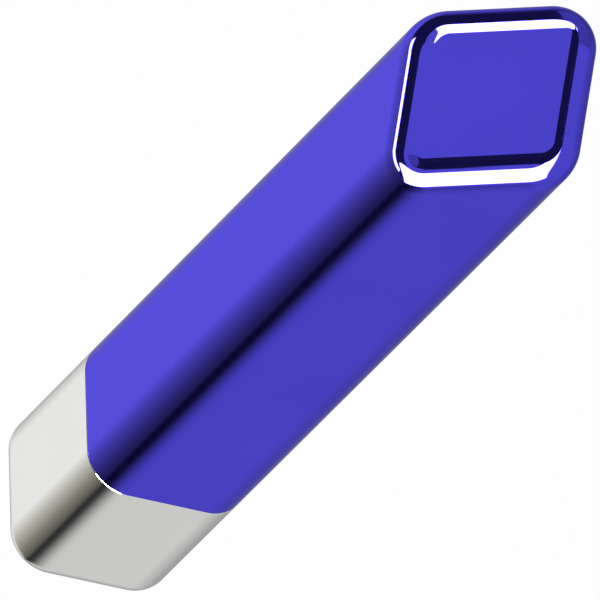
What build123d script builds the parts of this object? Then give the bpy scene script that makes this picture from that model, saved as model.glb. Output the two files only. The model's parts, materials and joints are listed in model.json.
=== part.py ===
"""Handheld filament pen with a mirror-plated square sleeve and a chrome nose, as separate solids.

All sizes are in millimetres. The pen is drawn lying along X on its own axis: station 0 is the front
of the chrome nose, +X runs to the closed rear end, +Z is up and -Y is the side with the controls.
place() then moves every piece into the row frame, whose origin is under the middle of the pen.
"""

import math
import os

from build123d import *

# ---- outer form -------------------------------------------------------------------------------
SIDE = 28.0  # across the flats of the square section
CORNER_R = 7.0  # radius of the four long edges
WALL = 1.6  # sleeve and nose wall
SEAM_X = 30.8  # station of the seam between nose and sleeve
REAR_MID_X = 149.4  # station where the slanted end crosses the pen's axis
REAR_SLOPE_Y = 0.5635  # how far the slanted end falls back along X for each millimetre in Y
REAR_SLOPE_Z = 0.4512  # the same for each millimetre in Z
REAR_WALL = 3.4  # thickness of the slanted end
REAR_EDGE_R = 3.9  # outer rounding of the slanted end
RIM_W = 3.5  # width of the raised rim round the slanted end
DISH_SHIFT = 1.0  # how far the dish is moved off the axis towards +Y
DISH_DEPTH = 1.1  # how far the panel lies below the rim
DISH_R = 1.4  # rounding between the rim's inner side and the panel
FRONT_EDGE_R = 4.0  # rounding of the nose's front edge
SEAM_CHAMFER = 0.25  # small chamfers that meet at the seam

# ---- nose -------------------------------------------------------------------------------------
NOSE_WALL_X = 2.0  # thickness of the nose's front wall
SPIGOT_LEN = 6.5  # how far the nose plugs into the sleeve
SPIGOT_GAP = 0.1  # clearance round the spigot
SPIGOT_WALL = 1.5
NOSE_HOLE_R = 7.5
NOSE_VENT_X = 18.0  # station of the first cooling slot in the nose
NOSE_VENT_PITCH = 3.0
NOSE_VENTS = 4
VENT_W = 1.4
VENT_LEN = 12.0

# ---- hot end ----------------------------------------------------------------------------------
NOZZLE_REACH = 10.0  # how far the nozzle tip stands out of the nose
FILAMENT_R = 0.875
FILAMENT_GAP = 0.025  # between the filament and the drive wheel
ORIFICE_R = 0.35
MELT_BORE_R = 1.0
NOZZLE_HEX_R = 3.4
NOZZLE_THREAD_R = 2.5
BLOCK_X = 4.0  # front face of the heater block
BLOCK_LEN = 10.0
BLOCK_WIDTH = 12.0
BLOCK_TOP = 5.2
BLOCK_BOTTOM = -9.4
HEATER_R = 2.0
HEATER_LEN = 14.0
HEATER_Z = -6.0
SENSOR_R = 0.9
SENSOR_LEN = 6.0
SENSOR_Z = 3.7
SOCK_WALL = 1.0
BREAK_NECK_R = 1.6
BREAK_NECK_LEN = 4.0
SINK_LEN = 16.0
SINK_CORE_R = 4.2
SINK_FIN_R = 10.0
SINK_FINS = 6
SINK_FIN_T = 1.0
SINK_FLANGE_T = 1.6

# ---- filament path ----------------------------------------------------------------------------
TUBE_R = 2.0
TUBE_BORE_R = 1.0
INLET_ANGLE = 35.0  # angle between the inlet's axis and the pen's axis
INLET_BEND_R = 45.0
INLET_Z = 3.2  # height of the rear guide tube beside the motor
INLET_BUSH_R = 3.0
INLET_BORE_R = 1.25
INLET_BUSH_LEN = 10.0
INLET_SOCKET = 3.0  # how deep the tube sits in the bush
FUNNEL_DEPTH = 2.6  # where the funnel mouth starts, measured along the inlet's axis
RISE_START_X = 71.6
RISE_END_X = 92.0

# ---- feeder -----------------------------------------------------------------------------------
FRAME_X = 37.6  # front face of the feeder frame
BULKHEAD_T = 2.2
BULKHEAD_GAP = 0.3  # clearance between bulkhead and spigot
PLATE_IN = 4.0  # inner face of each side plate
PLATE_T = 1.2
PLATE_TOP = 12.0
BRIDGE_LEN = 5.1  # length of the bar that joins the frame's two sides at its rear
BRIDGE_T = 1.6
FOOT_T = 1.4
PLATE_FLOOR = -11.4
PLATE_REAR_X = 77.0
DRIVE_X = 66.0
DRIVE_WHEEL_R = 4.0
DRIVE_HUB_R = 1.35
DRIVE_WHEEL_W = 5.0
DRIVE_SHAFT_R = 1.0
BUSH_R = 1.8
RUN_GAP = 0.04  # radial clearance of each running fit
MODULE = 0.5
PINION_TEETH = 12
WHEEL_TEETH = 28
SMALL_TEETH = 12
DRIVE_TEETH = 24
MESH_GAP = 0.06  # added to each pair's centre distance
TOOTH_SHARE = 0.86  # tooth thickness over its nominal value, which leaves backlash
INTERMEDIATE_Z = -3.0
MOTOR_Z = -6.3
LAYER_W = 1.8  # face width of each gear
LAYER_ONE_Y = 5.6
LAYER_TWO_Y = 7.8
COVER_Y = 10.0
COVER_T = 1.0
PIN_R = 0.75
MOTOR_R = 5.5
MOTOR_LEN = 11.0
ROLLER_R = 4.0
ROLLER_W = 4.6
ROLLER_GAP = 0.3  # between roller and drive wheel with no filament
ROLLER_BORE_R = 1.0
ARM_PIVOT_X = 76.0
ARM_PIVOT_Z = 8.2
ARM_CHEEK_IN = 2.7
ARM_CHEEK_OUT = 3.85
ARM_PAD_X = 58.8
ARM_PAD_TOP = 5.2
ARM_PAD_LEN = 4.8
ARM_SWING = 10.0  # degrees that the arm lifts to let filament in
SPRING_PAD_HALF = 4.6  # half the length of the frame's pad over the spring
SPRING_TOP = 11.0
SPRING_R = 1.9
SPRING_WIRE_R = 0.25
SPRING_PITCH = 0.95

# ---- fan --------------------------------------------------------------------------------------
FAN_SIDE = 17.0
FAN_T = 5.6
FAN_X = 48.7
FAN_TOP = -6.4
FAN_BORE_R = 7.6
FAN_HUB_R = 3.4
FAN_BLADES = 7
FAN_BLADE_R = 7.1
BODY_VENTS = 5
BODY_VENT_PITCH = 3.0

# ---- board and controls -----------------------------------------------------------------------
BOARD_X0 = 41.0
BOARD_OUT = -9.4  # face of the board that carries the switches
BOARD_T = 1.2
BOARD_HALF = 5.5
BOARD_POST_Z = 3.2
BOARD_POST_INSET = 2.5  # from each end of the board to its post
BOARD_POST_R = 1.6
KEY_GAP = 0.15  # clearance round each key
KEY_TRAVEL = 0.4
KEY_FLANGE = 0.8  # how far a key's flange reaches under the wall
KEY_FLANGE_T = 0.7
KEY_Z = 0.0
FEED_X = 50.0
KEY_LEN = 9.6
KEY_WIDTH = 6.4
KEY_SPACE = 2.4  # between neighbouring keys
POWER_R = 2.6
SWITCH_SIDE = 4.4
SWITCH_T = 1.1
LED_SPACE = 3.9  # from the edge of the power key to the lights
LED_Z = 2.4
LED_R = 0.8
SLIDER_SPACE = 3.3  # from the lights to the slider's nearest reach
SLIDER_TRAVEL = 3.5
SLIDER_LEN = 6.4
SLIDER_WIDTH = 5.2
SLIDER_POCKET_DEPTH = 0.9
SLIDER_SLOT_W = 1.8
SLIDER_STEM_LEN = 2.2

# ---- power inlet ------------------------------------------------------------------------------
PORT_FROM_REAR = 7.6  # from the slanted end, on the axis, to the socket's middle
PORT_Z = -4.0
PORT_LEN = 8.94
PORT_HEIGHT = 3.16
PORT_DEPTH = 6.5
PORT_SHELL_T = 0.3
PORT_POCKET = 0.7
POWER_BOARD_LEN = 15.0
POWER_BOARD_EDGE = 0.8  # how far the board reaches past the socket
POWER_BOARD_BOTTOM = -8.8
POWER_BOARD_TOP = 0.6
CARRIER_FLOOR_TOP = -9.0
CARRIER_T = 1.2
CARRIER_HALF = 5.0
CARRIER_UPRIGHT_T = 1.4
END_GAP = 0.4  # clearance between the rear bracket or power board and the slanted end
FOOT_LEN = 8.0

# ---- fasteners --------------------------------------------------------------------------------
SCREW_R = 0.8  # M1.6 shank
SCREW_CLEAR = 0.06  # radial clearance of each screw in its hole
SCREW_HEAD_R = 1.45
SCREW_HEAD_T = 0.9
NOSE_SCREW_R = 1.0
NOSE_SCREW_HEAD_R = 1.9
NOSE_SCREW_X = 34.4
WIRE_LANE_R = 1.0  # radius of each hole that lets wires through the bulkhead
WIRE_LANE_Y = -8.5
WIRE_LANE_Z = -8.3

# ---- values that follow -----------------------------------------------------------------------
HALF = SIDE / 2
CAVITY = HALF - WALL
CAVITY_R = CORNER_R - WALL
REAR_LONG_X = REAR_MID_X + (REAR_SLOPE_Y + REAR_SLOPE_Z) * HALF
SPIGOT_HALF = CAVITY - SPIGOT_GAP
SPIGOT_END = SEAM_X + SPIGOT_LEN
NOSE_SCREW_LEN = WALL + SPIGOT_GAP + SPIGOT_WALL + 0.1
BLOCK_END = BLOCK_X + BLOCK_LEN
SINK_X = BLOCK_END + BREAK_NECK_LEN
SINK_END = SINK_X + SINK_LEN
DRIVE_Z = -DRIVE_WHEEL_R - FILAMENT_R - FILAMENT_GAP
DRIVE_R = MODULE * DRIVE_TEETH / 2
SMALL_R = MODULE * SMALL_TEETH / 2
WHEEL_R = MODULE * WHEEL_TEETH / 2
PINION_R = MODULE * PINION_TEETH / 2
FIRST_CENTRES = DRIVE_R + SMALL_R + MESH_GAP
SECOND_CENTRES = WHEEL_R + PINION_R + MESH_GAP
INTERMEDIATE_X = DRIVE_X + math.sqrt(FIRST_CENTRES**2 - (INTERMEDIATE_Z - DRIVE_Z) ** 2)
MOTOR_X = INTERMEDIATE_X + math.sqrt(SECOND_CENTRES**2 - (MOTOR_Z - INTERMEDIATE_Z) ** 2)
ROLLER_Z = DRIVE_Z + DRIVE_WHEEL_R + ROLLER_GAP + ROLLER_R
BOARD_IN = BOARD_OUT + BOARD_T
RETRACT_X = FEED_X + KEY_LEN + KEY_SPACE
POWER_X = RETRACT_X + KEY_LEN / 2 + KEY_SPACE + KEY_FLANGE + POWER_R
LED_X = POWER_X + POWER_R + LED_SPACE
SLIDER_X = LED_X + SLIDER_SPACE + SLIDER_LEN / 2 + SLIDER_TRAVEL
BOARD_X1 = SLIDER_X + SLIDER_LEN / 2 + SLIDER_TRAVEL + SLIDER_SPACE
BOARD_POSTS = (
    (BOARD_X0 + BOARD_POST_INSET, BOARD_POST_Z),
    (POWER_X + SWITCH_SIDE / 2 + 1.5, BOARD_POST_Z),
    (BOARD_X1 - BOARD_POST_INSET, BOARD_POST_Z),
)
KEY_SEAT = -CAVITY + 0.05  # outer face of each key's flange
COVER_X0 = DRIVE_X - 3.0
COVER_X1 = MOTOR_X + 3.0
PORT_FACE = -CAVITY + 0.1
POWER_BOARD_OUT = PORT_FACE + PORT_DEPTH
POWER_BOARD_IN = POWER_BOARD_OUT + BOARD_T
PORT_X = REAR_MID_X - PORT_FROM_REAR
POWER_BOARD_X1 = PORT_X + PORT_LEN / 2 + POWER_BOARD_EDGE
POWER_BOARD_X0 = POWER_BOARD_X1 - POWER_BOARD_LEN
END_NORMAL = math.sqrt(1 + REAR_SLOPE_Y**2 + REAR_SLOPE_Z**2)
CAVITY_END_X = REAR_MID_X - REAR_WALL * END_NORMAL
CARRIER_LIMIT_X = CAVITY_END_X - END_GAP * END_NORMAL
FRAME_REAR_X = BOARD_X1
FOOT_X0 = FRAME_REAR_X - FOOT_LEN
NOZZLE_TIP_X = -NOZZLE_REACH

# The inlet's axis, from inside the pen outwards, and the point where it meets the pen's side.
INLET_COS = math.cos(math.radians(INLET_ANGLE))
INLET_SIN = math.sin(math.radians(INLET_ANGLE))
INLET_ARC_X = RISE_END_X + INLET_BEND_R * INLET_SIN
INLET_ARC_Y = -INLET_BEND_R * (1 - INLET_COS)
INLET_RUN = (HALF + INLET_ARC_Y) / INLET_SIN
INLET_X = INLET_ARC_X + INLET_RUN * INLET_COS
INLET_BEND_CORNER_X = RISE_END_X + INLET_BEND_R * math.tan(math.radians(INLET_ANGLE / 2))


# ---- small shape helpers ----------------------------------------------------------------------
def block(x0, x1, y0, y1, z0, z1):
    """A box between two opposite corners."""
    size = (x1 - x0, y1 - y0, z1 - z0)
    return Pos((x0 + x1) / 2, (y0 + y1) / 2, (z0 + z1) / 2) * Box(*size)


def rod(radius, start, end):
    """A round bar from one point to another."""
    start, end = Vector(*start), Vector(*end)
    plane = Plane(origin=start, z_dir=end - start)
    return extrude(plane * Circle(radius), amount=(end - start).length)


def rod_y(radius, x, z, y0, y1):
    """A round bar along Y."""
    return rod(radius, (x, y0, z), (x, y1, z))


def ring_y(outer, inner, x, z, y0, y1):
    """A round tube along Y."""
    return rod_y(outer, x, z, y0, y1) - rod_y(inner, x, z, y0, y1)


def turned(profile):
    """A solid of revolution about X. The profile is a closed list of (station, radius)."""
    outline = Polyline(*[(x, r) for x, r in profile], close=True)
    return revolve(make_face(outline), axis=Axis.X, revolution_arc=360)


def square_bar(x0, x1, half, radius):
    """A bar of rounded square section along X."""
    return extrude(Plane.YZ.offset(x0) * RectangleRounded(2 * half, 2 * half, radius), amount=x1 - x0)


def pill_y(x, z, length, width, y0, y1):
    """A bar along Y whose section is a slot with round ends, long way along X."""
    plane = Plane(origin=(x, y0, z), x_dir=(1, 0, 0), z_dir=(0, 1, 0))
    return extrude(plane * SlotOverall(length, width), amount=y1 - y0)


def beyond_end(x_mid):
    """Everything past the slanted plane that crosses the axis at x_mid, as a large block."""
    plane = Plane(origin=(x_mid, 0, 0), z_dir=(1, REAR_SLOPE_Y, REAR_SLOPE_Z))
    return extrude(plane * Rectangle(6 * SIDE, 6 * SIDE), amount=4 * SIDE)


def fused(*shapes):
    """One solid from shapes that touch or overlap."""
    body = shapes[0]
    for shape in shapes[1:]:
        body = body + shape
    return body


def cut(body, *tools):
    """The body with each tool taken away."""
    for tool in tools:
        body = body - tool
    return body


def group(*shapes):
    """Several separate solids kept in one node."""
    return Compound(children=[solid for shape in shapes for solid in shape.solids()])


# ---- outer shells -----------------------------------------------------------------------------
def slanted_edges(shape, x_mid):
    """The edges of a shape that lie in the slanted plane that crosses the axis at x_mid."""
    def off_plane(edge):
        points = [edge @ 0, edge @ 0.5, edge @ 1]
        return max(abs(p.X - x_mid + REAR_SLOPE_Y * p.Y + REAR_SLOPE_Z * p.Z) for p in points)
    return [edge for edge in shape.edges() if off_plane(edge) < 0.01]


def edges_at(shape, x):
    """The edges of a shape that lie in the flat plane at a station."""
    return [e for e in shape.edges() if abs((e @ 0).X - x) < 0.01 and abs((e @ 1).X - x) < 0.01]


def normal_step(distance):
    """How far the slanted plane shifts along X when it moves by a distance along its normal."""
    return distance * END_NORMAL


def vent_slots_z(first_x, pitch, count, length):
    """Cooling slots through the lower wall."""
    slots = []
    for index in range(count):
        x = first_x + index * pitch
        plane = Plane(origin=(x, 0, -HALF - 1), x_dir=(0, 1, 0), z_dir=(0, 0, 1))
        slots.append(extrude(plane * SlotOverall(length, VENT_W), amount=WALL + 2))
    return slots


def vent_slots_y(first_x, pitch, count, length):
    """Cooling slots through the wall on the controls' side."""
    slots = []
    for index in range(count):
        x = first_x + index * pitch
        plane = Plane(origin=(x, -HALF - 1, 0), x_dir=(0, 0, 1), z_dir=(0, 1, 0))
        slots.append(extrude(plane * SlotOverall(length, VENT_W), amount=WALL + 2))
    return slots


def countersunk_hole(x, toward):
    """The screw hole in the sleeve on the side that points towards a unit vector (y, z)."""
    y, z = toward
    outer, inner = HALF + 0.5, CAVITY - 0.5
    shank = rod(NOSE_SCREW_R + SCREW_CLEAR, (x, y * outer, z * outer), (x, y * inner, z * inner))
    return shank + countersink_cone(x, toward, SCREW_CLEAR)


def countersink_cone(x, toward, gap):
    """The cone of a countersunk head whose wide end is flush with the sleeve."""
    y, z = toward
    depth = NOSE_SCREW_HEAD_R - NOSE_SCREW_R
    plane = Plane(origin=(x, y * (HALF - depth), z * (HALF - depth)), z_dir=(0, y, z))
    stand = (Align.CENTER, Align.CENTER, Align.MIN)
    head = Cone(NOSE_SCREW_R + gap, NOSE_SCREW_HEAD_R + gap, depth, align=stand)
    return plane * head


NOSE_SCREW_SIDES = ((-1, 0), (0, -1))


def housing_sleeve():
    """The long one-piece sleeve with its slanted, rimmed end and every opening in its wall."""
    body = square_bar(SEAM_X, REAR_LONG_X + 2, HALF, CORNER_R) - beyond_end(REAR_MID_X)
    body = fillet(slanted_edges(body, REAR_MID_X), REAR_EDGE_R)
    dish_x = REAR_MID_X - normal_step(DISH_DEPTH)
    dish = square_bar(SEAM_X + 20, REAR_LONG_X + 2, HALF - RIM_W, CORNER_R - RIM_W / 2)
    dish = (Pos(0, DISH_SHIFT, 0) * dish) & beyond_end(dish_x)
    body = body - fillet(slanted_edges(dish, dish_x), DISH_R)
    body = chamfer(edges_at(body, SEAM_X), SEAM_CHAMFER)
    cavity = square_bar(SEAM_X - 1, REAR_LONG_X + 2, CAVITY, CAVITY_R)
    body = body - (cavity - beyond_end(CAVITY_END_X))
    return cut(body, *sleeve_openings())


def sleeve_openings():
    """Everything that is cut through the sleeve's wall."""
    out, deep = -HALF - 1, -CAVITY + 1
    grow = 2 * KEY_GAP
    tools = [pill_y(x, KEY_Z, KEY_LEN + grow, KEY_WIDTH + grow, out, deep) for x in (FEED_X, RETRACT_X)]
    tools.append(rod_y(POWER_R + KEY_GAP, POWER_X, KEY_Z, out, deep))
    tools += [rod_y(LED_R + SCREW_CLEAR, LED_X, z, out, deep) for z in (-LED_Z, LED_Z)]
    pocket_len = SLIDER_LEN + 2 * SLIDER_TRAVEL + grow
    slot_len = SLIDER_STEM_LEN + 2 * SLIDER_TRAVEL + grow
    tools.append(pill_y(SLIDER_X, KEY_Z, pocket_len, SLIDER_WIDTH + grow, out, -HALF + SLIDER_POCKET_DEPTH))
    tools.append(pill_y(SLIDER_X, KEY_Z, slot_len, SLIDER_SLOT_W + grow, out, deep))
    tools.append(rod(INLET_BUSH_R, inlet_point(-INLET_BUSH_LEN), inlet_point(INLET_BUSH_LEN)))
    tools.append(pill_y(PORT_X, PORT_Z, PORT_LEN + 0.4, PORT_HEIGHT + 0.4, out, deep))
    tools.append(pill_y(PORT_X, PORT_Z, PORT_LEN + 3.6, PORT_HEIGHT + 3.6, out, -HALF + PORT_POCKET))
    tools += [countersunk_hole(NOSE_SCREW_X, side) for side in NOSE_SCREW_SIDES]
    first_x = FAN_X - BODY_VENT_PITCH * (BODY_VENTS - 1) / 2
    tools += vent_slots_z(first_x, BODY_VENT_PITCH, BODY_VENTS, VENT_LEN)
    return tools


def nose_shell():
    """The chrome nose: a cup with a rounded front, cooling slots and a spigot for the sleeve."""
    body = square_bar(0, SEAM_X, HALF, CORNER_R)
    front = [e for e in body.edges() if abs((e @ 0).X) < 0.01 and abs((e @ 1).X) < 0.01]
    body = fillet(front, FRONT_EDGE_R)
    rear = [e for e in body.edges() if abs((e @ 0).X - SEAM_X) < 0.01 and abs((e @ 1).X - SEAM_X) < 0.01]
    body = chamfer(rear, SEAM_CHAMFER)
    body = body + square_bar(SEAM_X - 1, SPIGOT_END, SPIGOT_HALF, CAVITY_R - SPIGOT_GAP)
    hollow = square_bar(NOSE_WALL_X, SEAM_X - 1, CAVITY, CAVITY_R)
    hollow_front = edges_at(hollow, NOSE_WALL_X)
    hollow = fillet(hollow_front, FRONT_EDGE_R - WALL)
    inner = SPIGOT_HALF - SPIGOT_WALL
    hollow = hollow + square_bar(SEAM_X - 1.5, SPIGOT_END + 1, inner, CAVITY_R - SPIGOT_GAP - SPIGOT_WALL)
    body = body - hollow
    body = body - rod(NOSE_HOLE_R, (-1, 0, 0), (NOSE_WALL_X + 1, 0, 0))
    body = cut(body, *vent_slots_z(NOSE_VENT_X, NOSE_VENT_PITCH, NOSE_VENTS, VENT_LEN))
    body = cut(body, *vent_slots_y(NOSE_VENT_X, NOSE_VENT_PITCH, NOSE_VENTS, VENT_LEN))
    for y, z in NOSE_SCREW_SIDES:
        start, end = HALF, inner - 1
        outside, inside = (NOSE_SCREW_X, y * start, z * start), (NOSE_SCREW_X, y * end, z * end)
        hole = rod(NOSE_SCREW_R + SCREW_CLEAR, outside, inside)
        body = body - hole
    return body


def nose_screws():
    """Two countersunk screws that hold the sleeve to the nose's spigot."""
    screws = []
    for y, z in NOSE_SCREW_SIDES:
        tip = HALF - NOSE_SCREW_LEN
        top = HALF - 0.1
        shank = rod(NOSE_SCREW_R, (NOSE_SCREW_X, y * tip, z * tip), (NOSE_SCREW_X, y * top, z * top))
        screw = shank + countersink_cone(NOSE_SCREW_X, (y, z), 0)
        drive = Plane(origin=(NOSE_SCREW_X, y * HALF, z * HALF), z_dir=(0, -y, -z))
        for angle in (0, 90):
            screw = screw - extrude(drive * Rectangle(2.2, 0.45, rotation=angle), amount=0.6)
        screws.append(screw)
    return group(*screws)


# ---- hot end ----------------------------------------------------------------------------------
def nose_insert():
    """The dark heat-resistant cone that closes the nose round the nozzle."""
    bore, lip = NOZZLE_HEX_R + 0.35, NOSE_HOLE_R + 1.8
    rim = NOSE_HOLE_R - 0.1
    front = -NOZZLE_REACH * 0.52
    profile = [
        (front, bore), (front, bore + 1.0), (front + 0.5, bore + 1.5), (-0.6, rim - 0.4), (0.0, rim),
        (NOSE_WALL_X, rim), (NOSE_WALL_X, lip), (NOSE_WALL_X + 0.9, lip), (NOSE_WALL_X + 0.9, bore),
    ]
    return turned(profile)


def nozzle():
    """The brass nozzle: tip, hexagon and threaded shank, with the melt bore through it."""
    hex_front = NOZZLE_TIP_X + 3.6
    tip = turned([
        (NOZZLE_TIP_X, 0), (NOZZLE_TIP_X, 0.8), (hex_front, 2.6), (hex_front, 0),
    ])
    plane = Plane.YZ.offset(hex_front)
    hexagon = extrude(plane * RegularPolygon(NOZZLE_HEX_R, 6), amount=BLOCK_X - hex_front)
    shank = rod(NOZZLE_THREAD_R, (BLOCK_X - 0.5, 0, 0), (BLOCK_X + 4.8, 0, 0))
    bore = rod(ORIFICE_R, (NOZZLE_TIP_X - 1, 0, 0), (BLOCK_X, 0, 0))
    melt = rod(MELT_BORE_R, (NOZZLE_TIP_X + 1.2, 0, 0), (BLOCK_X + 6, 0, 0))
    return fused(tip, hexagon, shank) - bore - melt


def heater_block():
    """The aluminium block with bores for the nozzle, heat break, heater and sensor."""
    half = BLOCK_WIDTH / 2
    body = block(BLOCK_X, BLOCK_END, -half, half, BLOCK_BOTTOM, BLOCK_TOP)
    body = chamfer(body.edges().filter_by(Axis.X), 0.5)
    mid_x = (BLOCK_X + BLOCK_END) / 2
    body = body - rod(NOZZLE_THREAD_R, (BLOCK_X - 1, 0, 0), (BLOCK_END + 1, 0, 0))
    body = body - rod_y(HEATER_R + RUN_GAP, mid_x, HEATER_Z, -half - 1, half + 1)
    return body - rod_y(SENSOR_R + RUN_GAP, mid_x, SENSOR_Z, -half - 1, half - 4)


def heater_cartridge():
    """The round heater that lies across the block."""
    mid_x = (BLOCK_X + BLOCK_END) / 2
    body = rod_y(HEATER_R, mid_x, HEATER_Z, -HEATER_LEN / 2, HEATER_LEN / 2)
    ends = [e for e in body.edges() if e.geom_type == GeomType.CIRCLE]
    return chamfer(ends, 0.3)


def thermistor():
    """The small temperature sensor beside the melt bore."""
    mid_x = (BLOCK_X + BLOCK_END) / 2
    start = -BLOCK_WIDTH / 2 - 0.6
    return rod_y(SENSOR_R, mid_x, SENSOR_Z, start, start + SENSOR_LEN)


def silicone_sock():
    """The heat-resistant sock over the front and the long sides of the block."""
    half = BLOCK_WIDTH / 2
    outer = block(
        BLOCK_X - SOCK_WALL, BLOCK_END - 1.0, -half, half, BLOCK_BOTTOM - SOCK_WALL, BLOCK_TOP + SOCK_WALL
    )
    inner = block(BLOCK_X, BLOCK_END, -half - 1, half + 1, BLOCK_BOTTOM, BLOCK_TOP)
    return outer - inner - rod(NOZZLE_HEX_R + 0.15, (BLOCK_X - 3, 0, 0), (BLOCK_X + 1, 0, 0))


def heat_break():
    """The thin stainless tube between the hot block and the cold sink."""
    start = BLOCK_X + 4.9
    end = SINK_X + 6.0
    profile = [
        (start, TUBE_BORE_R), (start, NOZZLE_THREAD_R), (BLOCK_END, NOZZLE_THREAD_R),
        (BLOCK_END, BREAK_NECK_R), (SINK_X, BREAK_NECK_R), (SINK_X, NOZZLE_THREAD_R),
        (end, NOZZLE_THREAD_R), (end, TUBE_BORE_R),
    ]
    return turned(profile)


def heat_sink():
    """The finned sink, bored for the heat break at the front and the guide tube behind it."""
    body = rod(SINK_CORE_R, (SINK_X, 0, 0), (SINK_END, 0, 0))
    pitch = (SINK_LEN - SINK_FLANGE_T - SINK_FIN_T - 1.4) / (SINK_FINS - 1)
    for index in range(SINK_FINS):
        x = SINK_X + index * pitch
        body = body + rod(SINK_FIN_R, (x, 0, 0), (x + SINK_FIN_T, 0, 0))
    body = body + rod(SINK_FIN_R, (SINK_END - SINK_FLANGE_T, 0, 0), (SINK_END, 0, 0))
    body = body - rod(NOZZLE_THREAD_R, (SINK_X - 1, 0, 0), (SINK_X + 6.0, 0, 0))
    body = body - rod(TUBE_R, (SINK_X + 6.0, 0, 0), (SINK_END + 1, 0, 0))
    for y in (-7.4, 7.4):
        body = body - rod(SCREW_R + SCREW_CLEAR, (SINK_END - 3, y, 0), (SINK_END + 1, y, 0))
    return body


def sink_screws():
    """Two screws from the feeder frame's bulkhead into the sink's flange."""
    screws = []
    for y in (-7.4, 7.4):
        head_x = FRAME_X + BULKHEAD_T
        screws.append(screw_along((head_x, y, 0), (-1, 0, 0), head_x - SINK_END + SINK_FLANGE_T - 0.1))
    return group(*screws)


def screw_along(seat, direction, length):
    """A cap screw: its head sits on the seat point and its shank runs along the direction."""
    seat, direction = Vector(*seat), Vector(*direction)
    end = seat + direction * length
    top = seat - direction * SCREW_HEAD_T
    body = rod(SCREW_R, tuple(top), tuple(end)) + rod(SCREW_HEAD_R, tuple(top), tuple(seat))
    plane = Plane(origin=top, z_dir=direction)
    return body - extrude(plane * RegularPolygon(0.7, 6), amount=0.5)


# ---- filament path ----------------------------------------------------------------------------
def inlet_point(distance):
    """A point on the inlet's axis, that far outside the pen's side."""
    return (INLET_X + distance * INLET_COS, -HALF - distance * INLET_SIN, INLET_Z)


def front_guide_tube():
    """The straight low-friction tube from the heat sink to the drive wheel."""
    start, end = SINK_X + 6.0, DRIVE_X - 4.6
    return rod(TUBE_R, (start, 0, 0), (end, 0, 0)) - rod(TUBE_BORE_R, (start - 1, 0, 0), (end + 1, 0, 0))


def rear_guide_tube():
    """The bent tube that leads the filament from the inlet, over the motor, to the drive wheel."""
    rise_mid = (RISE_START_X + RISE_END_X) / 2
    points = [
        (RISE_START_X - 1.2, 0, 0),
        (RISE_START_X + 3.0, 0, 0),
        (rise_mid + 4.4, 0, INLET_Z),
        (INLET_BEND_CORNER_X, 0, INLET_Z),
        inlet_point(INLET_SOCKET - INLET_BUSH_LEN),
    ]
    first = Vector(*points[1]) - Vector(*points[0])
    rise = Vector(*points[2]) - Vector(*points[1])
    turn = math.radians(first.get_angle(rise))
    small = 0.45 * min(first.length * 2, rise.length) / math.tan(turn / 2)
    path = FilletPolyline(*points, radius=[min(small, 34), min(small, 34), INLET_BEND_R * 0.62])
    start = Plane(origin=path @ 0, z_dir=path % 0)
    return sweep(start * Circle(TUBE_R), path=path) - sweep(start * Circle(TUBE_BORE_R), path=path)


def inlet_bush():
    """The angled bush in the sleeve's side that filament is pushed into, with a funnel mouth."""
    inner_end = inlet_point(-INLET_BUSH_LEN)
    body = rod(INLET_BUSH_R - 0.02, inner_end, inlet_point(INLET_BUSH_LEN))
    body = body - block(INLET_X - 40, INLET_X + 40, -HALF - 20, -HALF, -HALF, HALF)
    body = body - rod(INLET_BORE_R, inlet_point(-INLET_BUSH_LEN - 1), inlet_point(INLET_BUSH_LEN))
    deep, seat = inlet_point(-INLET_BUSH_LEN - 1), inlet_point(INLET_SOCKET - INLET_BUSH_LEN)
    body = body - rod(TUBE_R + 0.02, deep, seat)
    plane = Plane(origin=inlet_point(-FUNNEL_DEPTH), z_dir=(INLET_COS, -INLET_SIN, 0))
    funnel = Cone(INLET_BORE_R, INLET_BORE_R + 3.6, 7.2, align=(Align.CENTER, Align.CENTER, Align.MIN))
    return body - plane * funnel


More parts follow.
